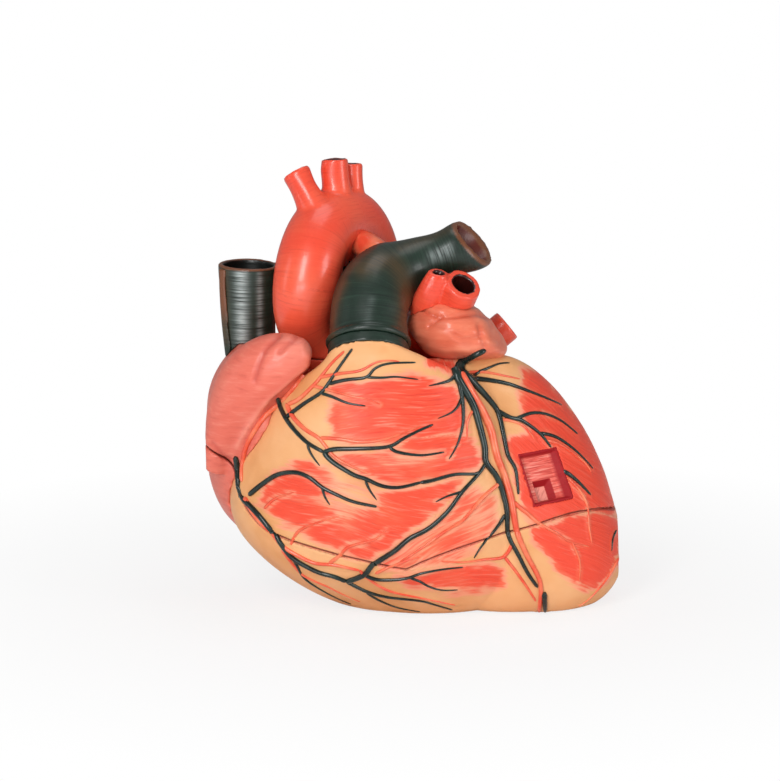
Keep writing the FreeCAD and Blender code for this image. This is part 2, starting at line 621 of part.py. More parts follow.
right_pulmonary_artery = largest(right_lung_form.cut([trunk_form, right_lung_bore]))

root_top = ROOT_SEAT + Vec(0, 0, SEAT_HEIGHT + VESSEL_GAP)
aorta_path = [root_top, at(-0.263, -0.030, 0.633), at(-0.256, -0.048, 0.731), at(-0.225, 0.061, 0.820),
              at(-0.127, 0.291, 0.799), at(-0.115, 0.388, 0.664)]
aorta_radii = [ROOT_RADIUS, AORTA_FOOT_RADIUS, AORTA_RADIUS, AORTA_RADIUS, ARCH_RADIUS, ARCH_END_RADIUS]
aorta_form = rod(aorta_path, aorta_radii, Vec(0, 0, 1))
spigot_radius = root_bore - SPIGOT_CLEARANCE
spigot = Part.makeCylinder(spigot_radius, 2 * SPIGOT_HEIGHT, root_top - Vec(0, 0, SPIGOT_HEIGHT))
aorta_bore_radii = [spigot_radius - SPIGOT_WALL] + [radius - VESSEL_WALL for radius in aorta_radii[1:]]
aorta_bore = rod(longer(aorta_path, SPIGOT_HEIGHT + CLEAR, CLEAR), aorta_bore_radii, Vec(0, 0, 1))


def branch(path, radius):
    """(outer solid, bore) of a branch that starts inside the arch and widens towards it."""
    radii = [radius * BRANCH_FLARE, radius, radius]
    return rod(path, radii), rod(longer(path, 0, CLEAR), [r - BRANCH_WALL for r in radii])


first_branch = branch([at(-0.232, 0.070, 0.866), at(-0.257, 0.093, 0.911), at(-0.284, 0.121, 0.954)],
                      BRACHIOCEPHALIC_RADIUS)
carotid = branch([at(-0.178, 0.147, 0.870), at(-0.183, 0.158, 0.916), at(-0.188, 0.170, 0.977)],
                 CAROTID_RADIUS)
subclavian = branch([at(-0.142, 0.222, 0.857), at(-0.145, 0.232, 0.902), at(-0.148, 0.242, 0.962)],
                    SUBCLAVIAN_RADIUS)
branches = [first_branch, carotid, subclavian]
branch_bores = [bore for _, bore in branches]
aortic_arch = largest(aorta_form.fuse(spigot).cut([aorta_bore, right_lung_form] + branch_bores))
brachiocephalic_artery = largest(first_branch[0].cut([aorta_form, first_branch[1]]))
left_carotid_artery = largest(carotid[0].cut([aorta_form] + branch_bores))
left_subclavian_artery = largest(subclavian[0].cut([aorta_form, carotid[0]] + branch_bores))
ligament = rod([at(-0.062, 0.000, 0.765), at(-0.095, 0.061, 0.784), at(-0.135, 0.150, 0.795)],
               [LIGAMENT_RADIUS] * 3)
arterial_ligament = largest(ligament.cut([trunk_form, aorta_form, right_lung_form]))

# Coronary vessels, half sunk into the outside of the heart
surface = heart_form.fuse([atrium_form, auricle_form, left_auricle_form, left_atrium_form])


def vessel(route, radius, back=False):
    """A vessel along (x, z) points on the front or the back of the heart."""
    path = [front_point(surface, x * WIDTH, z * HEIGHT, back) for x, z in route]
    curve = Part.BSplineCurve()
    curve.interpolate([point for point in path if point is not None])
    start = Part.Wire([Part.Circle(curve.value(0), curve.tangent(0)[0], radius).toShape()])
    return Part.Wire([curve.toShape()]).makePipeShell([start], True, False)


right_coronary = [
    vessel([(-0.258, 0.555), (-0.305, 0.507), (-0.353, 0.464), (-0.385, 0.415), (-0.405, 0.370),
            (-0.408, 0.292), (-0.380, 0.225), (-0.310, 0.172), (-0.235, 0.140), (-0.150, 0.120),
            (-0.042, 0.070), (0.060, 0.040)], ARTERY_RADIUS),
    vessel([(-0.318, 0.497), (-0.280, 0.455), (-0.235, 0.415), (-0.175, 0.378), (-0.110, 0.352)],
           TWIG_RADIUS)]
left_coronary = [
    vessel([(0.092, 0.530), (0.130, 0.500), (0.163, 0.464), (0.185, 0.415), (0.200, 0.355), (0.228, 0.280),
            (0.252, 0.200), (0.275, 0.125), (0.300, 0.060)], ARTERY_RADIUS),
    vessel([(0.240, 0.270), (0.270, 0.240), (0.320, 0.205), (0.375, 0.172), (0.420, 0.150)], TWIG_RADIUS),
    vessel([(0.205, 0.320), (0.160, 0.280), (0.115, 0.245), (0.071, 0.215), (0.016, 0.185)], TWIG_RADIUS)]
great_vein = [
    vessel([(0.075, 0.535), (0.108, 0.510), (0.138, 0.475), (0.158, 0.425), (0.172, 0.370), (0.200, 0.300),
            (0.226, 0.225), (0.255, 0.140), (0.282, 0.070)], VEIN_RADIUS),
    vessel([(0.120, 0.525), (0.165, 0.490), (0.200, 0.440), (0.225, 0.380), (0.250, 0.300)], TWIG_RADIUS),
    vessel([(0.200, 0.445), (0.250, 0.430), (0.300, 0.395), (0.360, 0.340), (0.405, 0.285)], TWIG_RADIUS)]
small_vein_net = [
    vessel([(-0.300, 0.465), (-0.255, 0.420), (-0.200, 0.395), (-0.143, 0.404), (-0.054, 0.417),
            (0.045, 0.453)], VEIN_RADIUS),
    vessel([(-0.280, 0.450), (-0.225, 0.505), (-0.190, 0.555), (-0.168, 0.583)], TWIG_RADIUS),
    vessel([(-0.405, 0.265), (-0.346, 0.200), (-0.269, 0.126), (-0.190, 0.095), (-0.110, 0.125),
            (-0.042, 0.180), (0.020, 0.225), (0.078, 0.262), (0.130, 0.310), (0.170, 0.355)], VEIN_RADIUS),
    vessel([(-0.385, 0.275), (-0.335, 0.315), (-0.281, 0.335), (-0.184, 0.304), (-0.088, 0.279)],
           TWIG_RADIUS)]
back_artery = [vessel([(-0.085, 0.340), (-0.060, 0.280), (-0.020, 0.210), (0.030, 0.130), (0.090, 0.060)],
                      ARTERY_RADIUS, True)]
middle_vein = [vessel([(-0.045, 0.365), (-0.020, 0.290), (0.025, 0.210), (0.080, 0.130), (0.140, 0.065)],
                      VEIN_RADIUS, True)]
circumflex = [vessel([(0.360, 0.430), (0.300, 0.435), (0.220, 0.415), (0.140, 0.385), (0.060, 0.360)],
                     ARTERY_RADIUS, True)]
sinus = [vessel([(0.250, 0.475), (0.170, 0.440), (0.090, 0.410), (0.010, 0.390), (-0.080, 0.385)],
                SINUS_RADIUS, True)]

# Every piece, by name
pieces = {
    "ventricles_lower": ventricles_lower,
    "ventricles_upper": ventricles_upper,
    "right_atrium_lower": right_atrium_lower,
    "right_atrium_upper": right_atrium_upper,
    "right_auricle": right_auricle,
    "upper_vena_cava": upper_vena_cava,
    "lower_vena_cava": lower_vena_cava,
    "azygos_vein": azygos_vein,
    "left_atrium": left_atrium,
    "left_auricle": left_auricle,
    "left_upper_pulmonary_veins": left_upper_lung_veins,
    "left_lower_pulmonary_vein": left_lower_lung_vein,
    "right_upper_pulmonary_vein": right_upper_lung_vein,
    "right_lower_pulmonary_vein": right_lower_lung_vein,
    "pulmonary_seat": pulmonary_seat,
    "pulmonary_valve": pulmonary_valve,
    "aortic_seat": aortic_seat,
    "aortic_valve": aortic_valve,
    "tricuspid_valve": tricuspid_valve,
    "mitral_valve": mitral_valve,
    "mitral_cords": mitral_cords,
    "tricuspid_cords": tricuspid_cords,
    "moderator_band": moderator_band,
    "mitral_muscles": mitral_muscles,
    "tricuspid_muscles": tricuspid_muscles,
    "pulmonary_trunk": pulmonary_trunk,
    "right_pulmonary_artery": right_pulmonary_artery,
    "aortic_arch": aortic_arch,
    "brachiocephalic_artery": brachiocephalic_artery,
    "left_carotid_artery": left_carotid_artery,
    "left_subclavian_artery": left_subclavian_artery,
    "arterial_ligament": arterial_ligament,
    "circumflex_artery": circumflex[0],
    "coronary_sinus": sinus[0],
}
for number, pin in enumerate(pin_pieces, 1):
    pieces[f"seam_pin_{number}"] = pin
for name, parts in (("right_coronary_artery", right_coronary), ("left_coronary_artery", left_coronary),
                    ("great_cardiac_vein", great_vein), ("small_cardiac_veins", small_vein_net),
                    ("posterior_artery", back_artery), ("middle_cardiac_vein", middle_vein)):
    network = joined(parts)
    pieces[name + "_lower"] = group([network.common(lower_half)])
    pieces[name + "_upper"] = group([network.cut(lower_half_and_gap)])

os.makedirs("parts", exist_ok=True)
for name, shape in pieces.items():
    shape.exportStep(f"parts/{name}.step")
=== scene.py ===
import json
import math

import bmesh
import bpy
import numpy as np
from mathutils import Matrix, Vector, noise
from mathutils.bvhtree import BVHTree
from mathutils.kdtree import KDTree


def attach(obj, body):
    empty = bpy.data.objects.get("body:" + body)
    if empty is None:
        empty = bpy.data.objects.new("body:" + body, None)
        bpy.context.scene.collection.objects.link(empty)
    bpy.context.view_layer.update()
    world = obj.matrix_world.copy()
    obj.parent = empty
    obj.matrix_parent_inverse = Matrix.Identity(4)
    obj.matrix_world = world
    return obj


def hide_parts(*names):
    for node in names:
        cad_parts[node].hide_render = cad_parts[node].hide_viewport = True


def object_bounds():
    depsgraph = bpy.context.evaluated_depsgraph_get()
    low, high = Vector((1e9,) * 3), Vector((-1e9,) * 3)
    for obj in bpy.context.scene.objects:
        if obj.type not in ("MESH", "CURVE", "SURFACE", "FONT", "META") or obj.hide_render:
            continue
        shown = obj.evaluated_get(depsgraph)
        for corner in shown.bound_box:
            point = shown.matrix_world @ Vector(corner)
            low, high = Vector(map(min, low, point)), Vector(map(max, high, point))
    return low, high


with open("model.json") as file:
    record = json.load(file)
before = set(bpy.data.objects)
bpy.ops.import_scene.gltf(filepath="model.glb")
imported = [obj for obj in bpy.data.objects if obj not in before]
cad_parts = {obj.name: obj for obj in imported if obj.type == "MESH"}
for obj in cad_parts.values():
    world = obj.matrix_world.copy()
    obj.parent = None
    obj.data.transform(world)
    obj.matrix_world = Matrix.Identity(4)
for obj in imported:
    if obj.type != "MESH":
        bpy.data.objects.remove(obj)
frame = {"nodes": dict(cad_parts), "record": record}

cadBox = [list(corner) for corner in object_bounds()]
mm = 0.001
scene = bpy.context.scene
upper, lower, vessels = "upper_section", "lower_section", "great_vessels"
print("frame loaded,", len(frame["nodes"]), "nodes")

# A flat front view of the heart: routes and patches are laid out on it, then dropped onto the surface
frontView = {"step": 0.6265 * mm, "middle": 413.5, "table": 600.0, "pitch": math.radians(12), "away": 0.4}
frontUp = Vector((0, math.sin(frontView["pitch"]), math.cos(frontView["pitch"])))
frontIn = Vector((0, math.cos(frontView["pitch"]), -math.sin(frontView["pitch"])))


def frontRay(u, v):
    return (Vector(((u - frontView["middle"]) * frontView["step"], 0, 0))
            + frontUp * ((frontView["table"] - v) * frontView["step"]) - frontIn * frontView["away"])


def frontPlace(co):
    # the two front view coordinates of each point
    u = frontView["middle"] + co[:, 0] / frontView["step"]
    v = frontView["table"] - (co @ np.array(frontUp)) / frontView["step"]
    return u, v


def addObject(name, data):
    made = bpy.data.objects.new(name, data)
    scene.collection.objects.link(made)
    return made


def newPiece(name, mesh, body, slotName, stands=(), look=None):
    piece = addObject(name, mesh)
    mesh.materials.clear()
    mesh.materials.append(look or looks[slotName])
    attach(piece, body)
    if stands:
        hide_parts(*stands)


def meshOf(bm, name):
    mesh = bpy.data.meshes.new(name)
    bm.to_mesh(mesh)
    bm.free()
    mesh.shade_smooth()
    return mesh


def realMesh(holder):
    # the mesh that an object shows once its modifiers or bevel are worked out
    mesh = bpy.data.meshes.new_from_object(holder.evaluated_get(bpy.context.evaluated_depsgraph_get()))
    bpy.data.objects.remove(holder)
    return mesh


def readVectors(items, name):
    values = np.zeros(len(items) * 3, np.float32)
    items.foreach_get(name, values)
    return values.reshape(-1, 3).astype(float)


def points(mesh):
    return readVectors(mesh.vertices, "co")


def normals(mesh):
    return readVectors(mesh.vertex_normals, "vector")


def setPoints(mesh, co):
    mesh.vertices.foreach_set("co", co.astype(np.float32).ravel())
    mesh.update()


def pushOut(mesh, co, facing, amount):
    # moves points along the way they face by an amount in mm
    setPoints(mesh, co + facing * (amount * mm)[:, None])


def smoothStep(low, high, value):
    t = np.clip((value - low) / (high - low), 0, 1)
    return t * t * (3 - 2 * t)


def surface(mesh, back=0.2, full=-0.2):
    # each point, the way it faces, its two front view coordinates, and how much it faces the front
    co, facing = points(mesh), normals(mesh)
    return co, facing, *frontPlace(co), smoothStep(back, full, facing @ np.array(frontIn))


def tree(meshes):
    bm = bmesh.new()
    for mesh in meshes:
        bm.from_mesh(mesh)
    found = BVHTree.FromBMesh(bm)
    bm.free()
    return found


def cadMeshes(nodes):
    return [frame["nodes"][node].data for node in nodes]


def meets(shapes, co, facing, start, reach):
    # 1 for each point that faces one of the shapes within reach, looking from start mm in front of it
    return np.array([float(any(shape.ray_cast(Vector(p) + Vector(n) * start * mm, Vector(n), reach)[0]
                               for shape in shapes)) for p, n in zip(co, facing)])


def finderOf(places):
    finder = KDTree(len(places))
    for k, place in enumerate(places):
        finder.insert(place, k)
    finder.balance()
    return finder


def relax(mesh, rounds, chosen=None):
    bm = bmesh.new()
    bm.from_mesh(mesh)
    bm.verts.ensure_lookup_table()
    verts = bm.verts if chosen is None else [bm.verts[k] for k in chosen]
    for _ in range(rounds):
        bmesh.ops.smooth_vert(bm, verts=verts, factor=0.5, use_axis_x=True, use_axis_y=True, use_axis_z=True)
    bm.to_mesh(mesh)
    bm.free()


def softCopy(name, nodes, voxel, rounds, snap=0.0):
    # One even, closed skin over CAD nodes. It is smoothed, then drawn back onto them where they lie within snap.
    cad = cadMeshes(nodes)
    joined = bmesh.new()
    for mesh in cad:
        joined.from_mesh(mesh)
    bmesh.ops.remove_doubles(joined, verts=joined.verts, dist=0.002 * mm)
    holder = addObject(name, meshOf(joined, name))
    skin = holder.modifiers.new("skin", "REMESH")
    skin.mode = "VOXEL"
    skin.voxel_size = voxel * mm
    mesh = realMesh(holder)
    relax(mesh, rounds)
    if snap:
        shape = tree(cad)
        co = points(mesh)
        for k, place in enumerate(co):
            near = shape.find_nearest(Vector(place), snap * mm)[0]
            if near is not None:
                co[k] = near
        setPoints(mesh, co)
        relax(mesh, 1)
    mesh.shade_smooth()
    return mesh


# Where the cast forms stand off the frame's on the front view: how far each shift reaches, then places
# and their shifts, four numbers each
castShape = {
    "heart": (22, [(506, 364, 4, -8), (529, 376, 5, -7), (543, 388, 5.3, -5.8), (554, 400, 5.8, -5),
        (572, 424, 6.5, -4), (586, 448, 6.3, -3), (597, 472, 6, -2.5), (606, 496, 5, -1.8), (613, 520, 3.8, -1),
        (617, 544, 4, 0), (613, 568, 6, 2.5), (607, 580, 6, 4.3), (596, 592, 6, 6), (573, 604, 3, 5),
        (214, 472, -3.5, 1), (218, 484, -5, 2.5), (224, 496, -5.9, 3.5), (232, 508, -6.3, 4.2), (244, 520, -7.5, 5.5),
        (252, 532, -6.7, 5.5), (263, 544, -6.5, 6.5), (278, 556, -6.3, 8.2), (294, 568, -6, 9), (313, 580, -5.5, 9.3),
        (334, 592, -4, 7.6), (356, 604, -1, 3)]),
    "pulmonaryTrunk": (14, [(470, 226, 4, -1), (484, 246, 5, -1), (487, 262, 4, 2), (405, 240, 0, 4), (430, 236, 0, 4),
        (404, 294, 6, 3), (412, 284, 4, 4)]),
    "upperVenaCava": (16, [(221, 262, -2, -3), (245, 258, 0, -3), (268, 258, 0, -3)]),
    "leftAuricle": (12, [(474, 301, 0, 5), (488, 307, -2, 6), (503, 322, -7, 2), (509, 336, -7, 0),
        (412, 318, -3, -2)]),
    "leftUpperVeins": (12, [(424, 288, -7, 3), (418, 300, -6, 3)]),
    "aorticArch": (9, [(328, 172, -4, 0), (326, 184, -3, 0), (334, 160, -1, -2)]),
}


warpLook = {"still": 0.3, "gain": 1.15, "margin": 0.5}


def warp(mesh, name):
    if name not in castShape:
        return
    reach, spots = castShape[name]
    co = points(mesh)
    u, v = frontPlace(co)
    total, shift = np.full(len(co), warpLook["still"]), np.zeros((len(co), 2))
    for u0, v0, *push in spots:
        weight = np.exp(-((u - u0) ** 2 + (v - v0) ** 2) / reach ** 2)
        total += weight
        shift += np.outer(weight, push)
    shift *= (warpLook["gain"] * frontView["step"] / total)[:, None]
    moved = co + np.outer(shift[:, 0], (1, 0, 0)) - np.outer(shift[:, 1], np.array(frontUp))
    low, high = np.array(cadBox[0]) + warpLook["margin"] * mm, np.array(cadBox[1]) - warpLook["margin"] * mm
    setPoints(mesh, np.clip(moved, np.minimum(low, co), np.maximum(high, co)))


def writeColour(mesh, name, *values):
    layer = mesh.color_attributes.new(name, "FLOAT_COLOR", "POINT")
    layer.data.foreach_set("color", np.stack(values, axis=1).astype(np.float32).ravel())


def cloud(co, size, seed, octaves=3):
    # soft noise between about -1 and 1, with features of the given size in metres
    shift = Vector((seed * 3.7, seed * 1.3, seed * 5.1))
    return np.array([noise.fractal(Vector(p) / size + shift, 1.0, 2.0, octaves) for p in co])


def pairs(numbers):
    return list(zip(numbers[::2], numbers[1::2]))


def bandDistance(u, v, route):
    # distance on the front view from each point to a line of points
    best = np.full(len(u), 1e9)
    for a, b in zip(route, route[1:]):
        du, dv = b[0] - a[0], b[1] - a[1]
        t = np.clip(((u - a[0]) * du + (v - a[1]) * dv) / (du * du + dv * dv), 0, 1)
        best = np.minimum(best, np.hypot(u - a[0] - t * du, v - a[1] - t * dv))
    return best


def band(u, v, front, width, route):
    # 1 on a line of the front view, fading over its half width
    return np.exp(-(bandDistance(u, v, pairs(route)) / width) ** 2) * front


def patchDistance(u, v, corners):
    # distance to the edge of a patch, positive inside it
    inside = np.zeros(len(u), bool)
    closed = list(corners) + [corners[0]]
    for (x0, y0), (x1, y1) in zip(closed, closed[1:]):
        if y0 != y1:
            inside ^= ((y0 > v) != (y1 > v)) & (u < (x1 - x0) * (v - y0) / (y1 - y0) + x0)
    return np.where(inside, 1, -1) * bandDistance(u, v, closed)


class Paint:
    # a new material's or a world's nodes, with short ways to add and join them
    def __init__(self, owner):
        owner.use_nodes = True
        self.owner, self.tree = owner, owner.node_tree
        self.shader = self.tree.nodes.get("Principled BSDF")

    def feed(self, node, inputs):
        # inputs are numbers, colours, vectors or other nodes' outputs
        for key, value in inputs.items():
            socket = node.inputs[key]
            if isinstance(value, bpy.types.NodeSocket):
                self.tree.links.new(value, socket)
            elif isinstance(value, tuple):
                socket.default_value = (*value, 1)[:len(socket.default_value)]
            else:
                socket.default_value = value
        return node

    def node(self, kind, inputs=None):
        return self.feed(self.tree.nodes.new(kind), inputs or {})

    def mix(self, factor, first, second):
        node = self.node("ShaderNodeMix")
        node.data_type = "RGBA"
        return self.feed(node, {0: factor, 6: first, 7: second}).outputs[2]

    def sums(self, operation, first, second):
        node = self.node("ShaderNodeMath")
        node.operation = operation
        return self.feed(node, {0: first, 1: second}).outputs[0]

    def times(self, first, second):
        return self.sums("MULTIPLY", first, second)

    def plus(self, first, second):
        return self.sums("ADD", first, second)

    def minus(self, first, second):
        return self.sums("SUBTRACT", first, second)

    def ranged(self, value, fromLow, fromHigh, toHigh, toLow=0.0):
        return self.node("ShaderNodeMapRange", {0: value, 1: fromLow, 2: fromHigh, 3: toLow, 4: toHigh}).outputs[0]

    def grain(self, vector, detail, roughness, distortion=0.0, scale=1.0):
        look = {"Scale": scale, "Detail": detail, "Roughness": roughness, "Distortion": distortion}
        return self.node("ShaderNodeTexNoise", {"Vector": vector, **look}).outputs[0]

    def place(self):
        return self.node("ShaderNodeTexCoord").outputs["Object"]

    def spots(self, scale, detail=3):
        return self.grain(self.place(), detail, 0.5, 0.0, scale)

    def vector(self, first, second, third=0.0):
        return self.node("ShaderNodeCombineXYZ", {0: first, 1: second, 2: third}).outputs[0]

    def attribute(self, name):
        read = self.node("ShaderNodeAttribute")
        read.attribute_name = name
        split = self.node("ShaderNodeSeparateColor", {0: read.outputs["Color"]})
        return *split.outputs, read.outputs["Alpha"]

    def cover(self, body, layers, height, strength, depth):
        # coats of colour over a first one, each with its weight, and the relief below them
        for weight, colour in layers:
            body = self.mix(weight, body, colour)
        relief = self.node("ShaderNodeBump", {"Strength": strength, "Distance": depth * mm, "Height": height})
        self.feed(self.shader, {"Base Color": body, "Normal": relief.outputs[0]})

    def finish(self, roughness, coat, level=0.35, metal=0.0):
        self.feed(self.shader, {"Roughness": roughness, "Specular IOR Level": level, "Coat Weight": coat,
                                "Coat Roughness": 0.12, "Metallic": metal})
        return self.owner


def newPaint(name):
    return Paint(bpy.data.materials.new(name))


# Paints: base, pale, then deep and the bore's painted shade where they are needed
shades = {
    "muscle": [(0.86, 0.076, 0.038), (0.93, 0.30, 0.21), (0.62, 0.030, 0.020)],
    "fat": [(0.80, 0.385, 0.160), (0.87, 0.50, 0.255), (0.66, 0.285, 0.098)],
    "rightAtrium": [(0.76, 0.155, 0.105), (0.86, 0.29, 0.21), (0.50, 0.055, 0.04)],
    "leftAtrium": [(0.79, 0.170, 0.090), (0.88, 0.31, 0.185), (0.55, 0.070, 0.035)],
    "redVessel": [(0.83, 0.068, 0.032), (0.92, 0.17, 0.08), (0.45, 0.022, 0.014), (0.030, 0.004, 0.003)],
    "greenVessel": [(0.006, 0.018, 0.011), (0.026, 0.056, 0.038), (0.003, 0.005, 0.004), (0.003, 0.005, 0.004)],
    "smallVein": [(0.004, 0.012, 0.010), (0.020, 0.042, 0.036)],
    "smallArtery": [(0.80, 0.085, 0.038), (0.93, 0.27, 0.13)],
    "window": [(0.82, 0.135, 0.100), (0.92, 0.34, 0.27)],
    "valveTissue": [(0.78, 0.55, 0.36), (0.88, 0.74, 0.58)],
    "innerMuscle": [(0.62, 0.09, 0.06), (0.80, 0.24, 0.17)],
    "steelPin": [(0.55, 0.55, 0.56), (0.68, 0.68, 0.70)],
}
tint = {
    # the seam colour is painted shade for the gap between the sections
    "blend": (0.90, 0.32, 0.20), "seam": (0.24, 0.028, 0.016), "inside": (0.60, 0.085, 0.06),
    # the silvery colour here is a painted highlight
    "cut": (0.82, 0.24, 0.17), "patina": (0.070, 0.042, 0.016), "silver": (0.44, 0.50, 0.49),
    # the trunk's red-brown bore, darkened as painted shade
    "brown": (0.17, 0.055, 0.020), "boreBrown": (0.13, 0.016, 0.007), "crimson": (0.36, 0.010, 0.014),
}


def wallPaint():
    # Both ventricles. One attribute holds muscle, how streaky it is, the seam's painted shade, inside; the other where
    # along and across a fibre a point lies, its patch and the sawn face.
    paint = newPaint("heartWall")
    muscle, streaky, seam, inside = paint.attribute("tissue")
    along, across, patch, cut = paint.attribute("grain")
    fat, lined = paint.minus(1.0, muscle), paint.times(muscle, streaky)
    (flesh, fleshPale, fleshDeep), (fatBase, fatPale, fatDeep) = shades["muscle"], shades["fat"]

    def lines(lengthwise, crosswise, *noiseLook):
        return paint.grain(paint.vector(paint.times(along, lengthwise), paint.times(across, crosswise), patch),
                           *noiseLook)

    fibre, bands = lines(0.030, 0.42, 3, 0.6, 0.35), lines(0.018, 0.13, 2, 0.5, 0.2)
    frayed = paint.times(paint.minus(paint.plus(bands, fibre), 1.0), 1.7)
    half = paint.times(paint.minus(1.08, muscle), paint.plus(muscle, 0.04))  # most where muscle and fat meet
    weight = paint.plus(muscle, paint.times(frayed, paint.times(half, 2.2)))
    ramp = paint.node("ShaderNodeValToRGB", {0: weight})
    ramp.color_ramp.interpolation = "EASE"
    stops = ramp.color_ramp.elements
    stops[0].position, stops[0].color = 0.04, (*fatBase, 1)
    stops[1].position, stops[1].color = 0.78, (*flesh, 1)
    stops.new(0.40).color = (*tint["blend"], 1)
    soft = paint.spots(30)
    paint.cover(ramp.outputs[0], [
        (paint.times(fat, paint.ranged(soft, 0.42, 0.72, 0.7)), fatPale),
        (paint.times(fat, paint.ranged(soft, 0.46, 0.26, 0.6)), fatDeep),
        (paint.times(lined, paint.ranged(fibre, 0.46, 0.34, 0.6)), fleshDeep),
        (paint.times(lined, paint.ranged(fibre, 0.56, 0.70, 0.75)), fleshPale),
        (inside, paint.mix(paint.ranged(paint.spots(60, 4), 0.35, 0.7, 0.6), tint["inside"], tint["cut"])),
        # painted shade along the seam, dark in the gap between the sections
        (cut, tint["cut"]), (paint.ranged(seam, 0.62, 0.80, 0.8), tint["seam"]),
    ], paint.times(fibre, paint.plus(muscle, 0.10)), 0.7, 0.8)
    return paint.finish(0.44, 0.06, 0.22)


def brushedPaint(name, lines, roughness, coat):
    # A tube painted with fine brush lines round it. One attribute holds along, around, brown, inside; the other
    # patina, the painted highlight of silvery brush marks, and how warm the bore is.
    paint = newPaint(name)
    along, around, brown, inner = paint.attribute("tube")
    patina, silver, warm, _ = paint.attribute("age")
    base, pale, deep, boreShade = shades[name]
    brush = paint.grain(paint.vector(paint.times(along, 850), paint.times(around, 1.6)), 4, 0.65)
    paint.cover(base, [
        (paint.ranged(paint.spots(20), 0.42, 0.72, 0.5), pale), (paint.ranged(brush, 0.52, 0.72, lines), pale),
        (paint.ranged(brush, 0.46, 0.30, lines), deep),
        (paint.times(patina, paint.ranged(brush, 0.30, 0.55, 1, 0.35)), tint["patina"]),
        # painted highlight: silvery brush marks
        (paint.times(silver, paint.ranged(brush, 0.36, 0.60, 1)), tint["silver"]),
        # the bore is painted shade: near black, and for the trunk a darkened red-brown
        (brown, tint["brown"]), (inner, paint.mix(warm, boreShade, tint["boreBrown"])),
    ], brush, 0.4, 0.3)
    return paint.finish(roughness, coat, 0.5)


def fleshPaint(name, angle, coat):
    # Smooth painted flesh. Its attribute holds the creases' painted shade, the ridges' painted highlight, the seam's
    # painted shade and inside.
    paint = newPaint(name)
    creaseShade, ridgeHighlight, seam, inner = paint.attribute("tissue")
    base, pale, deep = shades[name]
    turned = paint.node("ShaderNodeMapping", {0: paint.place(), "Location": (4, 2.8, 1.2), "Scale": (7, 11.2, 40),
                                              "Rotation": (0, math.radians(angle), 0)})
    brush = paint.grain(turned.outputs[0], 4, 0.62, 0.25, 8)
    paint.cover(base, [
        (paint.ranged(paint.spots(22), 0.42, 0.72, 0.5), pale), (paint.ranged(brush, 0.52, 0.70, 0.45), pale),
        # painted highlight on the ridges, painted shade in the creases
        (paint.ranged(brush, 0.46, 0.32, 0.3), deep), (ridgeHighlight, pale), (creaseShade, deep), (inner, deep),
        # the seam's painted shade
        (paint.ranged(seam, 0.60, 0.78, 0.8), tint["seam"]),
    ], brush, 0.3, 0.4)
    return paint.finish(0.40, coat, 0.30)


def plainPaint(name, scale, roughness, coat=0.35, metal=0.0):
    paint = newPaint(name)
    soft = paint.spots(scale, 4)
    base, pale = shades[name]
    paint.cover(base, [(paint.ranged(soft, 0.38, 0.70, 0.85), pale)], soft, 0.25, 0.3)
    return paint.finish(roughness, coat, 0.35, metal)


def windowPaint():
    # The cut window. Its attribute holds the layer, its walls, and where across and down it a point is.
    paint = newPaint("cutWindow")
    layer, walls, across, down = paint.attribute("tray")
    wavy = paint.grain(paint.vector(paint.times(across, 1.6), paint.times(down, 34)), 2, 0.5, 0.7)
    slope = paint.plus(down, paint.times(across, 0.9))
    steep = paint.grain(paint.vector(paint.times(slope, 34), paint.times(across, 3)), 2, 0.5, 0.5)
    line = paint.node("ShaderNodeMix", {0: layer, 2: wavy, 3: steep}).outputs[0]
    base, pale = shades["window"]
    paint.cover(base, [
        (layer, pale), (paint.ranged(line, 0.48, 0.38, 0.5), tint["crimson"]),
        (paint.ranged(line, 0.50, 0.64, 0.8), pale), (walls, tint["crimson"]),
    ], line, 0.5, 0.4)
    return paint.finish(0.5, 0.0, 0.2)


# The finish of each of the frame's material slots
looks = {
    "heart_wall": wallPaint(),
    "right_atrium_wall": fleshPaint("rightAtrium", -58, 0.12),
    "left_atrium_wall": fleshPaint("leftAtrium", 18, 0.35),
    "red_vessel": brushedPaint("redVessel", 0.35, 0.30, 0.30),
    "green_vessel": brushedPaint("greenVessel", 0.8, 0.38, 0.12),
    "small_vein": plainPaint("smallVein", 90, 0.24, 0.30),
    "small_artery": plainPaint("smallArtery", 90, 0.30, 0.4),
    "valve_tissue": plainPaint("valveTissue", 120, 0.4),
    "inner_muscle": plainPaint("innerMuscle", 90, 0.4),
    "pin": plainPaint("steelPin", 400, 0.3, 0.0, 1.0),
}
windowMaterial = windowPaint()
print("materials ready")

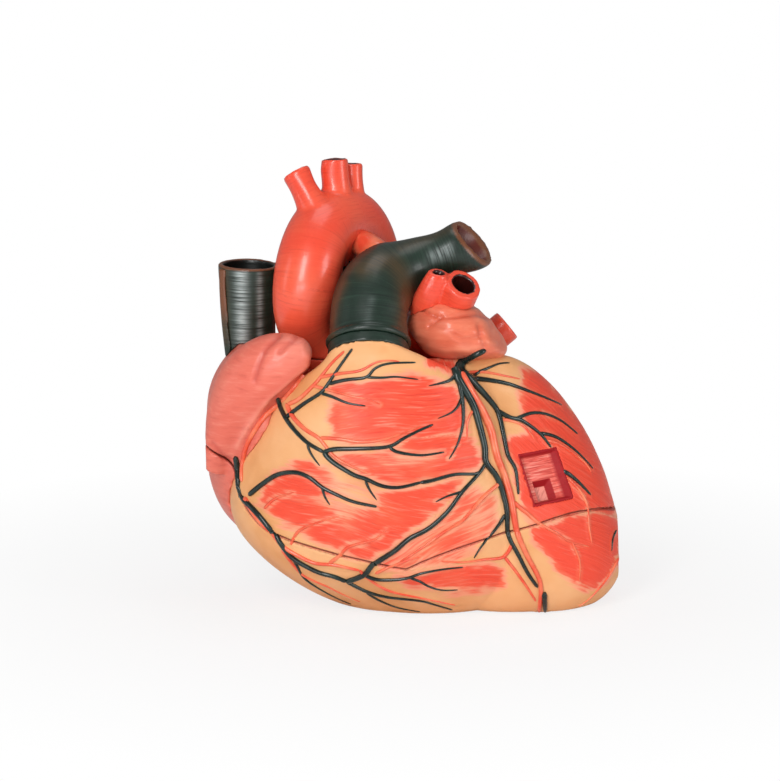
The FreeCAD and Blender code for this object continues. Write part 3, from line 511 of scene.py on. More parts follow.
# Coronary routes on the front view: first and last radius in mm, then points as pairs of numbers
veinRoutes = [
    (1.6, 1.5, 278.6, 398, 284, 411, 292.6, 425, 308, 441, 325, 451),
    (1.5, 1.0, 325, 451, 335, 448, 354, 447.6, 388, 445.6, 404, 437, 420, 429, 432, 424),
    (1.1, 0.7, 390, 446, 396, 450.5, 420, 454, 443, 451),
    (1.6, 1.2, 325, 451, 333, 460, 354, 473, 366, 477, 382, 484, 399, 485.6, 420, 480.7),
    (1.2, 1.1, 420, 480.7, 430.6, 479, 453.6, 473, 476.5, 472, 484, 462),
    (1.0, 0.5, 366, 479, 370, 488, 377, 498),
    (1.0, 0.5, 309, 443, 312, 452, 321, 464.5),
    (1.4, 1.0, 288, 417, 305, 404, 322, 393, 329, 384.5, 340, 368, 353, 349.5),
    (1.2, 0.7, 330, 384, 347, 380, 367, 377.5, 375, 369, 389, 364, 415, 363),
    (0.9, 0.5, 367, 377.5, 382, 378, 396, 377, 417.5, 379.6),
    (1.1, 0.6, 322, 393, 333, 396.5, 349, 403, 366, 405.6),
    (1.7, 1.1, 251, 494, 263, 484, 279, 473.6, 297, 471, 311, 476, 323.5, 485.6, 337.5, 492.6, 354, 499.6, 377, 504.5),
    (1.0, 0.5, 323.5, 486, 326, 495, 331, 503),
    (1.9, 1.9, 237, 456, 239, 471.5, 240, 480, 241, 493, 248, 501, 259, 512, 270, 525, 280, 538, 291, 553, 302, 561,
     320, 570, 335, 574, 347, 579),
    (1.8, 1.4, 347, 579, 356, 576, 366, 571, 372, 563, 387, 553, 396, 547, 409, 536, 428, 526, 446, 510, 461, 490,
     478, 471.5, 484, 462),
    (1.3, 0.6, 366, 573, 378, 577, 396, 577, 409, 575, 420, 571, 441, 567, 462, 565),
    (0.9, 0.5, 409, 575, 420, 579, 428, 584, 441, 588, 457, 588),
    (1.3, 0.7, 347, 579, 360, 586, 369, 590, 387, 595, 420, 599, 434, 603, 452, 609),
    (0.9, 0.5, 367, 591, 378, 598, 396, 606, 420, 611),
    (1.0, 0.5, 292, 554.5, 298, 563, 303, 574, 313, 583, 334, 596, 351, 604),
    (1.7, 3.4, 484, 350.5, 475, 354, 466, 359.5, 459, 366, 455, 374),
    (2.6, 2.6, 468, 358, 459, 365, 456, 375, 460, 386, 465, 395),
    (2.6, 2.6, 466, 359, 460, 367, 466, 377, 475, 387),
    (2.6, 1.4, 453, 368, 455, 377, 464, 392, 472, 407, 478, 427, 483, 447, 484, 461, 495, 476, 502.6, 496, 505.6, 511,
     507, 533, 517, 553, 527, 572, 536.5, 585.6),
    (1.2, 0.6, 504, 513, 496, 525, 487, 536, 479, 546, 473, 556),
    (1.7, 0.5, 454, 370, 458, 385, 461, 400, 462, 415, 461, 427, 456, 444, 448, 458),
    (1.0, 0.4, 460, 398, 456, 407, 449, 413, 437, 418),
    (1.4, 0.4, 455, 373, 450, 380, 441, 383, 428, 386),
    (0.9, 0.5, 461, 490, 446, 494.5, 435, 500),
    (2.6, 1.0, 456, 367, 462, 374, 469, 381, 484, 396.5, 495, 410, 498, 418, 502.6, 439, 507, 456, 514, 468.5,
     517, 493),
    (1.6, 0.9, 495, 410, 510, 418, 519, 419.5, 538, 432.5, 550, 447),
    (1.2, 0.7, 514, 419, 530, 413, 545, 414, 561, 421, 577.6, 434),
    (1.2, 0.6, 539, 433, 553, 436, 568, 445, 581, 456, 593, 468.5),
    (1.9, 0.6, 457, 368, 464, 375, 472, 378.5, 486, 380, 507, 384, 530, 392, 548, 399, 562, 405),
    (1.1, 0.6, 470, 379, 478, 372, 486, 369, 498, 364, 509, 363),
    (1.5, 0.8, 562, 470, 568, 474, 577.6, 482, 590, 494.5),
    (2.0, 1.6, 543, 591, 544, 600, 545, 611),
    (0.8, 0.5, 617, 531, 613, 538, 612, 551),
]
arteryRoutes = [
    (1.9, 1.7, 312, 370, 298, 383, 287, 396, 267, 415, 252, 436.5, 245, 453, 243, 467, 243, 481),
    (1.5, 1.0, 290, 404, 301, 399, 316, 384.5, 322, 377.5, 333, 363.5, 345, 352),
    (1.2, 0.6, 322, 377.5, 340, 374, 361, 371, 375, 363.5, 387, 361, 399, 362),
    (1.1, 0.6, 315, 386, 330, 390, 354, 396.5, 368, 399, 380, 404),
    (1.6, 0.9, 288, 404, 295, 417, 307, 429, 321, 438, 335, 455, 351.5, 464.5, 368, 471.5),
    (1.2, 0.6, 322, 437, 340, 438, 361, 441, 382, 439, 403.5, 432, 420, 424.5),
    (1.1, 0.5, 266, 507, 277, 497, 295, 491),
    (1.1, 0.5, 292, 543, 298, 531, 307, 525, 320, 520, 340, 514),
    (1.8, 1.2, 246, 497, 259, 517, 273, 531, 285, 545, 302, 555, 316, 561, 334, 562.5, 351, 566, 359.5, 568),
    (1.2, 0.6, 330, 561, 342, 552, 347, 545.5, 360, 541, 374, 537.5, 387, 527),
    (1.1, 0.6, 376, 571, 386, 566, 396, 562, 409.5, 557, 419, 554.5),
    (1.1, 0.6, 360, 568, 371, 578, 383, 586, 396, 591, 420, 596, 455, 604),
    (1.1, 0.6, 283, 548, 292, 560, 302, 572, 314, 579, 328, 585, 343, 593, 360, 601),
    (3.1, 1.6, 458, 374, 469, 392, 481, 412, 489, 430, 495, 455, 504, 478, 510, 499, 515, 528, 524, 550.5, 536.5, 574,
     540, 587, 539, 611),
    (1.1, 0.6, 500, 419.5, 508, 420, 522.5, 425.6, 533, 438),
    (1.1, 0.6, 545, 440, 556, 443, 568, 450, 584, 462, 591, 471.5),
    (1.3, 0.6, 512, 500, 519, 507, 527, 513, 536, 521, 555, 532, 569, 541, 588, 546),
    (0.9, 0.5, 571, 542, 578.6, 560, 578.6, 581),
    (1.0, 0.6, 566, 477, 574, 485, 580.6, 493, 587, 507, 588, 525, 591, 542),
    (1.3, 0.7, 498, 482, 483, 494.5, 473.5, 505, 461, 519, 443, 530, 420, 546.5, 400, 559),
    (1.2, 0.6, 512, 540, 503, 555, 483, 557.5, 462, 560, 441, 559),
    (1.1, 1.0, 504, 556, 515, 570, 527, 587, 535, 600),
    (0.9, 0.5, 474, 407, 468, 416, 466, 424, 466, 439),
    (1.1, 0.6, 466, 373, 480, 372, 492, 373.6, 519, 379),
    (1.0, 0.6, 619, 559, 607, 579, 588, 600, 579, 606),
]
# Routes on the back, whose points are width and height in mm
backVeins = [
    (2.2, 1.3, -12, 103, -5, 82, 6, 59, 21, 37, 38, 18),
    (1.5, 0.7, 2, 70, -16, 58, -32, 48, -46, 36),
    (1.5, 0.7, 60, 112, 66, 88, 70, 64, 68, 44, 72, 24),
    (1.2, 0.6, 67, 86, 82, 70, 92, 52, 98, 34),
    (1.2, 0.6, 10, 54, 26, 50, 40, 40),
    (4.0, 2.6, -24, 109, 2, 109, 24, 114, 46, 124, 66, 134),
]
backArteries = [
    (1.8, 1.1, -21, 99, -15, 79, -5, 59, 8, 37, 23, 17),
    (1.1, 0.6, -14, 77, -28, 66, -42, 60, -56, 50),
    (1.7, 1.0, 82, 123, 72, 122, 57, 117, 36, 109, 16, 102),
    (1.2, 0.6, 58, 116, 56, 96, 50, 76, 46, 56, 50, 34),
    (1.1, 0.6, 78, 122, 83, 102, 86, 82, 92, 64),
]


def spline(route, spacing):
    # evenly close points on a smooth curve through a route
    ends = [route[0]] + list(route) + [route[-1]]
    found = []
    for i in range(1, len(ends) - 2):
        p0, p1, p2, p3 = (Vector(ends[i + k]) for k in (-1, 0, 1, 2))
        steps = max(2, int((p2 - p1).length / spacing))
        for k in range(steps):
            t = k / steps
            found.append(0.5 * ((2 * p1) + (p2 - p0) * t + (2 * p0 - 5 * p1 + 4 * p2 - p3) * t * t
                                + (3 * p1 - p0 - 3 * p2 + p3) * t * t * t))
    found.append(Vector(route[-1]))
    return found


def drop(carriers, origin, direction):
    # the first carrier along a ray: (body, place, normal)
    best = None
    for body, shape in carriers:
        place, normal, _, distance = shape.ray_cast(origin, direction)
        if place is not None and (best is None or distance < best[3]):
            best = (body, place, normal, distance)
    return best[:3] if best else None


def laidRoutes(carriers, routes, backRoutes):
    # each route dropped on the heart, and split where it crosses from one body to the other
    runs = []
    for (first, last, *route), back in [(r, 0) for r in routes] + [(r, 1) for r in backRoutes]:
        samples = spline(pairs(route), vesselLook["spacing"][back])
        run, held = [], None
        for k, sample in enumerate(samples):
            share = k / (len(samples) - 1)
            radius = (first + (last * vesselLook["taper"] - first) * share) * vesselLook["swell"] * mm
            if back:
                hit = drop(carriers, Vector((sample.x * mm, frontView["away"], sample.y * mm)), Vector((0, -1, 0)))
            else:
                hit = drop(carriers, frontRay(sample.x, sample.y), frontIn)
            if hit is None:
                continue
            spot = (hit[1], hit[2], radius * vesselLook["ends"][min(k, len(samples) - 1 - k, 2)])
            jumped = run and (hit[1] - run[-1][0]).length > vesselLook["jump"] * mm
            if hit[0] != held or jumped:
                shared = [run[-1]] if run and not jumped else []
                runs.append((held, run + [spot] if shared else run))
                run, held = shared, hit[0]
            run.append(spot)
        runs.append((held, run))
    return [(held, run) for held, run in runs if len(run) > 2]


def tubes(name, runs, body, lift, slotName, stands):
    # all the runs on one body as round, tapering tubes with blunt ends, lifted by a share of their radius
    curve = bpy.data.curves.new(name, "CURVE")
    curve.dimensions = "3D"
    curve.bevel_depth = mm
    curve.bevel_resolution = 3
    curve.use_fill_caps = True
    for run in [run for held, run in runs if held == body]:
        centres = [place + normal * (radius * lift) for place, normal, radius in run]
        for _ in range(vesselLook["rounds"]):
            inner = [(a + b * 2 + c) / 4 for a, b, c in zip(centres, centres[1:], centres[2:])]
            centres = [centres[0]] + inner + [centres[-1]]
        strand = curve.splines.new("POLY")
        strand.points.add(len(run) - 1)
        for point, centre, (_, _, radius) in zip(strand.points, centres, run):
            point.co = (*centre, 1)
            point.radius = radius / mm
    bm = bmesh.new()
    bm.from_mesh(realMesh(addObject(name + "Holder", curve)))
    bmesh.ops.recalc_face_normals(bm, faces=bm.faces)
    for vert in bm.verts:
        vert.co.z = max(vert.co.z, vesselLook["clear"] * mm)
    newPiece(name, meshOf(bm, name), body, slotName, stands)


# The window cut in the left ventricle's wall, as it lies on the front view: two steps with sloping sides. across and
# down are shares of it where the second step lies. The frame's own recess is filled in the skin first.
windowLook = {"corners": [(518.5, 455), (555, 448.5), (571, 496), (533.5, 503.8)], "middle": (82.16, 89.99),
              "width": 24.0, "tall": 30.0, "turn": 13.0, "step": 4.5, "floorSpot": (524, 466), "slope": 0.062,
              "rightSlope": 0.17, "innerSlope": 0.13, "across": (0.22, 0.72), "down": (0.52, 0.95), "lip": 0.045,
              "cell": 0.018, "sharp": (0.03, 0.02), "ripples": (0.07, 0.10), "lay": 0.25, "droop": 0.6, "under": 1.2,
              "reach": 0.035}


def windowFrame():
    # middle, side, upward and outward of the frame's own recess
    look = windowLook
    hit, axis, _, _ = tree(cadMeshes(["ventricles_upper"])).ray_cast(frontRay(*look["floorSpot"]), frontIn)
    side = Vector((0, 0, 1)).cross(axis).normalized()
    upward = axis.cross(side)
    turn = math.radians(look["turn"])
    side, upward = side * math.cos(turn) + upward * math.sin(turn), upward * math.cos(turn) - side * math.sin(turn)
    x, z = look["middle"][0] * mm, look["middle"][1] * mm
    y = (axis.dot(hit) + look["step"] * mm - axis.x * x - axis.z * z) / axis.y
    return [np.array(part) for part in (Vector((x, y, z)), side, upward, axis)]


def fillRecess(mesh):
    # raises the skin over the frame's recess to the surface round it
    middle, side, upward, axis = windowFrame()

    def layout():
        co = points(mesh)
        local = (co - middle) / mm
        gx, gy, high = local @ side, local @ upward, local @ axis
        return co, gx, gy, high, np.stack([np.ones(len(gx)), gx, gy, gx * gx, gx * gy, gy * gy], axis=1)

    co, gx, gy, high, terms = layout()
    edge = np.maximum(np.abs(gx) - windowLook["width"] / 2, np.abs(gy) - windowLook["tall"] / 2)
    ring = (edge > 1.5) & (edge < 5) & (np.abs(high) < 8)
    fit = np.linalg.lstsq(terms[ring], high[ring], rcond=None)[0]
    sunk = (edge < 1.5) & (high > -2 * windowLook["step"] - 1.5) & (high < 6)
    relax(mesh, 30, np.flatnonzero(sunk))
    co, gx, gy, high, terms = layout()
    setPoints(mesh, co + np.outer((terms @ fit - high) * mm * sunk, axis))


def windowTray(mesh):
    # the window's lip, walls and floors in one grid, laid on the filled skin; the skin sinks away under it
    look = windowLook
    axis = windowFrame()[3]

    def breaks(stops):
        found = []
        for a, b in zip(stops, stops[1:]):
            found += list(np.linspace(a, b, max(2, int((b - a) / look["cell"]) + 1), endpoint=False))
        return np.array(found + [stops[-1]])

    lip, slope, right, inward = look["lip"], look["slope"], look["rightSlope"], look["innerSlope"]
    (x0, x1), (y0, y1) = look["across"], look["down"]
    xs = breaks([-lip, 0, slope, x0, x0 + inward, x1 - inward, x1, 1 - right, 1, 1 + lip])
    ys = breaks([-lip, 0, slope, y0, y0 + inward, y1, 1, 1 + lip])
    bm = bmesh.new()
    bmesh.ops.create_grid(bm, x_segments=len(xs) - 1, y_segments=len(ys) - 1, size=1)
    bmesh.ops.reverse_faces(bm, faces=bm.faces)
    tray = meshOf(bm, "cutWindow")
    flat = points(tray)
    s, t = (found[np.rint((flat[:, k] + 1) / 2 * (len(found) - 1)).astype(int)] for k, found in enumerate((xs, ys)))
    shares = ((1 - s) * (1 - t), s * (1 - t), s * t, (1 - s) * t)
    spots = sum(np.outer(share, corner) for share, corner in zip(shares, look["corners"]))
    skin = tree([mesh])
    base = np.array([skin.ray_cast(frontRay(*spot), frontIn)[0] for spot in spots])
    outer = np.minimum(np.minimum(s, 1 - s), np.minimum(t, 1 - t))
    first = np.clip(np.minimum(np.minimum(s, t) / slope, np.minimum((1 - t) / slope, (1 - s) / right)), 0, 1)
    second = np.minimum(np.minimum((s - x0) / look["sharp"][0], (x1 - s) / inward),
                        np.minimum((t - y0) / inward, (y1 - t) / look["sharp"][1]))
    second = np.clip(second, 0, 1)
    low = second > 0.99  # the deeper floor
    ripple = look["ripples"][0] * np.sin(t * 92 + 3 * s + 0.8 * np.sin(s * 15)) * (first > 0.99) * (second < 0.01)
    ripple += look["ripples"][1] * np.sin((t * 1.15 + s) * 78) * low
    edge = np.clip(-outer / lip, 0, 1)
    high = look["lay"] - look["droop"] * edge ** 2 - look["step"] * (first + second) + ripple
    setPoints(tray, base + np.outer(high, axis) * mm)
    walls = np.maximum(1 - first, (second > 0.01) * (second < 0.99))
    writeColour(tray, "tray", low.astype(float), np.clip(walls * 2.5, 0, 1), s, t)
    co = points(mesh)
    fromMiddle = co - base.mean(axis=0)
    under = smoothStep(-1.1, -0.5, patchDistance(*frontPlace(co), look["corners"]))
    under = under * (np.linalg.norm(fromMiddle, axis=1) < look["reach"]) * (fromMiddle @ axis > -0.008)
    setPoints(mesh, co - np.outer(under * (2 * look["step"] + look["under"]) * mm, axis))
    newPiece("cutWindow", tray, upper, "heart_wall", look=windowMaterial)


# The walls of the two ventricles and of the right atrium
wallLook = {"voxel": 1.1, "close": 0.2, "rounds": 3, "snap": 1.2, "fatRise": 0.45, "bankRise": 0.3, "sink": 0.3,
            "middle": (0.01, 0, 0.09), "inner": (0.012, -0.004), "start": 1.5, "reach": 0.16, "touch": 3, "seam": 1.7,
            "ragged": 0.020, "fray": 4, "edge": (-8, 7), "bankPale": 0.22}
wallNodes = {upper: "ventricles_upper", lower: "ventricles_lower"}
wallMeshes = {body: softCopy(node + "Skin", [node], wallLook["voxel"], wallLook["rounds"], wallLook["snap"])
              for body, node in wallNodes.items()}
fillRecess(wallMeshes[upper])
print("walls:", {body: len(mesh.polygons) for body, mesh in wallMeshes.items()})
atriumLook = {"voxel": 1.4, "lump": 0.35, "lumpSize": 0.03, "reach": 0.1}
atriumNodes = {upper: "right_atrium_upper", lower: "right_atrium_lower"}
atriumMeshes = {upper: softCopy("rightAtriumSkin", ["right_atrium_upper", "right_auricle"], atriumLook["voxel"], 6),
                lower: softCopy("rightAtriumLowerSkin", ["right_atrium_lower"], atriumLook["voxel"], 4, 1.2)}
print("right atrium:", {body: len(mesh.polygons) for body, mesh in atriumMeshes.items()})


def seamGap(meshes, nodes):
    # how far the points of each section lie from the frame's other section, to 4 mm
    found = {}
    for body, mesh in meshes.items():
        shape = tree(cadMeshes([nodes[other] for other in nodes if other != body]))
        found[body] = np.array([shape.find_nearest(Vector(p), 4 * mm)[3] or 4 * mm for p in points(mesh)])
    return found


def wallCarriers():
    return [(body, tree([mesh])) for meshes in (wallMeshes, atriumMeshes) for body, mesh in meshes.items()]


# A first lay of the vessels tells the walls where their banks are
vesselLook = {"swell": 1.04, "taper": 0.75, "veinLift": 0.35, "arteryLift": 0.22, "jump": 15, "ends": (0.6, 0.9, 1),
              "spacing": (1.8, 1.2), "clear": 0.1, "rounds": 3}
seamGaps, atriumGaps = seamGap(wallMeshes, wallNodes), seamGap(atriumMeshes, atriumNodes)
for mesh in (*wallMeshes.values(), *atriumMeshes.values()):
    warp(mesh, "heart")
roughRuns = laidRoutes(wallCarriers(), veinRoutes + arteryRoutes, backVeins + backArteries)
bankSizes = [radius for _, run in roughRuns for _, _, radius in run]
bankFinder = finderOf([place for _, run in roughRuns for place, _, _ in run])

# Muscle on the front view: strength, how streaky, turn of its fibres in degrees, then the outline
musclePatches = [
    (0.95, 0.9, -4, 333, 387, 338, 382, 362, 383, 382, 377, 412, 375, 435, 379, 452, 387, 462, 400, 466, 420, 462, 437,
     442, 435, 425, 437, 395, 441, 368, 444, 345, 441, 333, 435, 330, 413),
    (0.85, 0.8, -3, 327, 453, 342, 451, 385, 448, 408, 440, 442, 435, 465, 430, 478, 447, 481, 467, 462, 473, 442, 477,
     412, 483, 392, 485, 372, 480, 352, 470, 335, 462),
    (0.82, 0.8, 14, 262, 487, 278, 473, 298, 462, 312, 458, 328, 467, 338, 478, 358, 483, 382, 488, 408, 487, 442, 480,
     462, 478, 455, 493, 435, 513, 412, 530, 382, 553, 368, 560, 345, 553, 322, 542, 295, 528, 270, 513, 260, 502),
    (0.7, 0.6, -28, 408, 535, 435, 515, 458, 493, 478, 487, 497, 497, 498, 520, 488, 537, 475, 550, 448, 560, 408, 567,
     382, 568, 378, 560),
    (0.85, 0.6, -2, 395, 573, 428, 567, 462, 565, 488, 563, 503, 568, 502, 585, 478, 591, 455, 592, 428, 587,
     408, 583),
    (1.0, 0.25, 38, 523, 370, 542, 373, 565, 395, 588, 427, 605, 460, 617, 500, 620, 517, 595, 510, 565, 515, 535, 523,
     520, 513, 517, 493, 512, 467, 503, 450, 503, 438, 515, 435, 525, 433, 523, 413, 520, 390),
    (1.0, 0.3, 25, 532, 528, 565, 517, 595, 512, 620, 518, 623, 540, 617, 563, 602, 583, 585, 589, 572, 583, 558, 567,
     542, 550, 530, 540),
    (0.95, 0.8, 80, 424, 356, 440, 355, 455, 358, 456, 368, 452, 376, 440, 372, 428, 366),
]
# Where the muscle's paint is thin: (place, half width, half height, strength)
thinSpots = [
    ((352, 497), 28, 18, 0.70), ((480, 520), 16, 20, 0.35), ((345, 415), 14, 22, 0.25), ((395, 462), 30, 8, 0.25),
    ((425, 505), 16, 10, 0.2),
]
backFibres = {"turn": -25, "size": 0.055, "share": 0.12}
patchSeed = 3.3


def fibrePlace(u, v, turn):
    # where along and across fibres at this turn each point lies, gently arched
    angle = math.radians(turn)
    along = u * math.cos(angle) + v * math.sin(angle)
    across = v * math.cos(angle) - u * math.sin(angle)
    return along, across + 2.2 * np.sin(along / 17)


def paintWall(body, mesh, gap):
    co, facing, u, v, front = surface(mesh, 0.20, -0.15)
    ragged = cloud(co * np.array([1, 1, 2.2]), wallLook["ragged"], 1)
    muscle, deepest = np.zeros(len(co)), np.full(len(co), -1e9)
    fibres = (*fibrePlace(u, v, 0), np.zeros(len(co)), np.full(len(co), 0.6))
    for number, (strength, lined, turn, *corners) in enumerate(musclePatches, 1):
        depth = patchDistance(u, v, pairs(corners))
        muscle = np.maximum(muscle, strength * smoothStep(*wallLook["edge"], depth + wallLook["fray"] * ragged))
        here = (*fibrePlace(u, v, turn), number * patchSeed, lined)
        fibres = [np.where(depth > deepest, new, old) for new, old in zip(here, fibres)]
        deepest = np.maximum(deepest, depth)
    for (u0, v0), wide, tall, strength in thinSpots:
        muscle *= 1 - strength * np.exp(-((u - u0) / wide) ** 2 - ((v - v0) / tall) ** 2)
    behind = smoothStep(-0.25, 0.25, cloud(co, backFibres["size"], 5) + backFibres["share"])
    muscle = muscle * front + behind * (1 - front)
    along, across, patch, streaky = fibres
    along, across = np.where(front > 0.5, (along, across), fibrePlace(u, v, backFibres["turn"]))
    nearest = [bankFinder.find(Vector(place)) for place in co]
    banks = smoothStep(1.5, 0.6, np.array([far / (1.6 * mm + 1.6 * bankSizes[k]) for _, k, far in nearest]))
    muscle *= 1 - wallLook["bankPale"] * banks
    others = tree([wallMeshes[b] for b in wallMeshes if b != body])
    cut = meets([others], co, facing, 0.1, wallLook["touch"] * mm)
    outward = ((co - np.array(wallLook["middle"])) * facing).sum(axis=1)
    low = outward < wallLook["inner"][0]
    inside = np.zeros(len(co))
    inside[low] = meets([tree([mesh]), others], co[low], facing[low], wallLook["start"], wallLook["reach"])
    inside *= smoothStep(*wallLook["inner"], outward)
    # painted shade in the seam: darker the nearer the other section
    line = np.clip(1 - gap / (4 * mm), 0, 1) * (1 - inside)
    seam = smoothStep(wallLook["seam"] * mm, 0.9 * mm, gap) * (1 - cut) * (1 - inside)
    rise = wallLook["fatRise"] * (1 - muscle) + wallLook["bankRise"] * banks - wallLook["sink"]
    rise = rise * (1 - inside) * (1 - seam) * (1 - cut) + wallLook["close"] * cut
    risen = co + facing * (rise * mm)[:, None]
    risen[:, 2] = np.maximum(risen[:, 2], 0.05 * mm)
    setPoints(mesh, risen)
    writeColour(mesh, "tissue", muscle, streaky, line, inside * (1 - cut))
    writeColour(mesh, "grain", along, across, patch, cut)


for body, mesh in wallMeshes.items():
    paintWall(body, mesh, seamGaps[body])
    newPiece(wallNodes[body].replace("_", "") + "Wall", mesh, body, "heart_wall", [wallNodes[body]])
print("walls painted")

# Creases and ridges of the right atrium on the front view: half width, depth in mm, how strong the creases' painted
# shade and the ridges' painted highlight are, then points
atriumCreases = [
    (4.5, 1.4, 0.35, 316, 371, 298, 380, 283, 396, 262, 420, 247, 446, 243, 470),
    (2.4, 0.7, 0.45, 318, 361, 298, 381, 272, 401),
    (3.0, 1.2, 0.55, 281, 336, 267, 350, 261, 365, 257, 380),
    (2.6, 1.0, 0.45, 300, 336, 287, 347, 282, 353),
    (2.6, 0.7, 0.5, 213, 443, 225, 457, 236, 461, 243, 478),
]
atriumRidges = [
    (2.6, 1.0, 1.2, 312, 365, 292, 382, 266, 404, 248, 428, 238, 446),
    (8, 0.6, 0.2, 222, 400, 230, 375, 248, 356),
]


def pressLines(u, v, front, creases, ridges):
    # how far creases and ridges move each point, and how much painted shade the creases and painted highlight the
    # ridges give it
    push, shown = np.zeros(len(u)), np.zeros((2, len(u)))
    for k, (sign, lines) in enumerate(((-1, creases), (1, ridges))):
        for width, depth, paintedLight, *route in lines:
            weight = band(u, v, front, width, route)
            push += sign * depth * weight
            shown[k] = np.maximum(shown[k], paintedLight * weight)
    return push, *shown


for body, mesh in atriumMeshes.items():
    co, facing, u, v, front = surface(mesh)
    push, creaseShade, ridgeHighlight = pressLines(u, v, front, atriumCreases, atriumRidges)
    push += atriumLook["lump"] * cloud(co, atriumLook["lumpSize"], 8, 2)
    seam = smoothStep(1.8 * mm, 0.9 * mm, atriumGaps[body])
    inside = meets([tree([mesh])], co, facing, wallLook["start"], atriumLook["reach"])
    inside *= smoothStep(0.004, -0.004, ((co - co.mean(axis=0)) * facing).sum(axis=1))
    pushOut(mesh, co, facing, push * (1 - inside) * (1 - seam))
    # creases carry painted shade, ridges a painted highlight, and the third channel painted shade along the seam
    writeColour(mesh, "tissue", creaseShade, ridgeHighlight * 0.5, np.clip(1 - atriumGaps[body] / (4 * mm), 0, 1), inside)
newPiece("rightAtriumShell", atriumMeshes[upper], upper, "right_atrium_wall",
         ["right_atrium_upper", "right_auricle"])
newPiece("rightAtriumFloor", atriumMeshes[lower], lower, "right_atrium_wall",
         ["right_atrium_lower"])
print("right atrium done")

# Where a cast form is fuller or flatter than its tube: (place, size, rise), all in mm
fuller = {
    "aorticArch": [((-40, 22, 217), 15, 7.5), ((-43, 14, 213), 9, 6.0)],
    "pulmonaryTrunk": [((4, -12, 198), 13, 5.0)],
    "leftUpperVeins": [((2, -16, 198), 12, 4.0)],
    "leftAuricle": [((-4, -22, 178), 15, 4.0)],
}


def swell(mesh, bulges):
    co, facing = points(mesh), normals(mesh)
    for place, size, rise in bulges:
        away = np.array(place) * mm - co
        distance = np.linalg.norm(away, axis=1)
        toward = np.clip((away / distance[:, None] * facing).sum(axis=1), 0, 1)
        co = co + facing * (rise * mm * toward * np.exp(-(distance / (size * mm)) ** 2))[:, None]
    setPoints(mesh, co)


# The left atrium and its soft, lumpy auricle
auricleLook = {"voxel": 1.1, "rounds": 6, "lump": 1.3, "size": 0.021, "atriumLump": 0.4, "gain": 1.5}
# The auricle's creases give painted shade and its ridges a painted highlight
auricleCreases = [
    (2.0, 1.0, 0.55, 421, 309, 426, 313, 434, 316),
    (2.6, 0.9, 0.35, 434, 316, 450, 317, 470, 315, 488, 317),
    (2.0, 0.9, 0.45, 428, 327, 434, 322, 440, 317),
    (2.4, 0.9, 0.35, 454, 336, 462, 340, 472, 339, 482, 336),
    (2.4, 0.8, 0.3, 478, 326, 481, 337, 484, 347),
    (2.2, 0.7, 0.3, 437, 300, 455, 306, 475, 307),
]
auricleRidges = [
    (3.5, 0.6, 0.4, 430, 346, 446, 352, 466, 350),
    (3.0, 0.4, 0.4, 416, 335, 420, 342),
    (3.0, 0.5, 0.35, 484, 343, 494, 344),
]
auricleMesh = softCopy("leftAuricleSkin", ["left_auricle"], auricleLook["voxel"], auricleLook["rounds"])
swell(auricleMesh, fuller["leftAuricle"])
warp(auricleMesh, "leftAuricle")
leftAtriumMesh = softCopy("leftAtriumSkin", ["left_atrium"], 1.5, 5)
for mesh, creases, ridges, lump in ((auricleMesh, auricleCreases, auricleRidges, auricleLook["lump"]),
                                    (leftAtriumMesh, [], [], auricleLook["atriumLump"])):
    co, facing, u, v, front = surface(mesh)
    push, creaseShade, ridgeHighlight = pressLines(u, v, front, creases, ridges)
    folds = cloud(co * np.array([1, 1, 1.5]), auricleLook["size"], 12, 2)
    push = push * auricleLook["gain"] + lump * (folds - 0.15)
    pushOut(mesh, co, facing, push)
    # fold hollows get painted shade and fold tops a painted highlight
    writeColour(mesh, "tissue", np.maximum(creaseShade, smoothStep(-0.25, -0.6, folds) * 0.25),
                np.maximum(ridgeHighlight, smoothStep(0.25, 0.6, folds) * 0.3), *np.zeros((2, len(co))))
newPiece("leftAuricleBlock", auricleMesh, upper, "left_atrium_wall", ["left_auricle"])
newPiece("leftAtriumBlock", leftAtriumMesh, upper, "left_atrium_wall", ["left_atrium"])
print("left atrium done")

windowTray(wallMeshes[upper])
print("window done")

# The vessels lie on the finished surfaces
carriers = wallCarriers() + [(upper, tree([auricleMesh, leftAtriumMesh]))]
smallVessels = [
    ("cardiacVeins", veinRoutes, backVeins, vesselLook["veinLift"], "small_vein",
     ["great_cardiac_vein", "small_cardiac_veins", "middle_cardiac_vein"], ["coronary_sinus"]),
    ("coronaryArteries", arteryRoutes, backArteries, vesselLook["arteryLift"], "small_artery",
     ["right_coronary_artery", "left_coronary_artery", "posterior_artery"], ["circumflex_artery"]),
]
for name, routes, backRoutes, lift, slotName, nodes, onlyUpper in smallVessels:
    runs = laidRoutes(carriers, routes, backRoutes)
    for section, extra in (("upper", onlyUpper), ("lower", [])):
        tubes(name + section.capitalize(), runs, section + "_section", lift, slotName,
              [node + "_" + section for node in nodes] + extra)
    print(name, "laid in", len(runs), "runs")

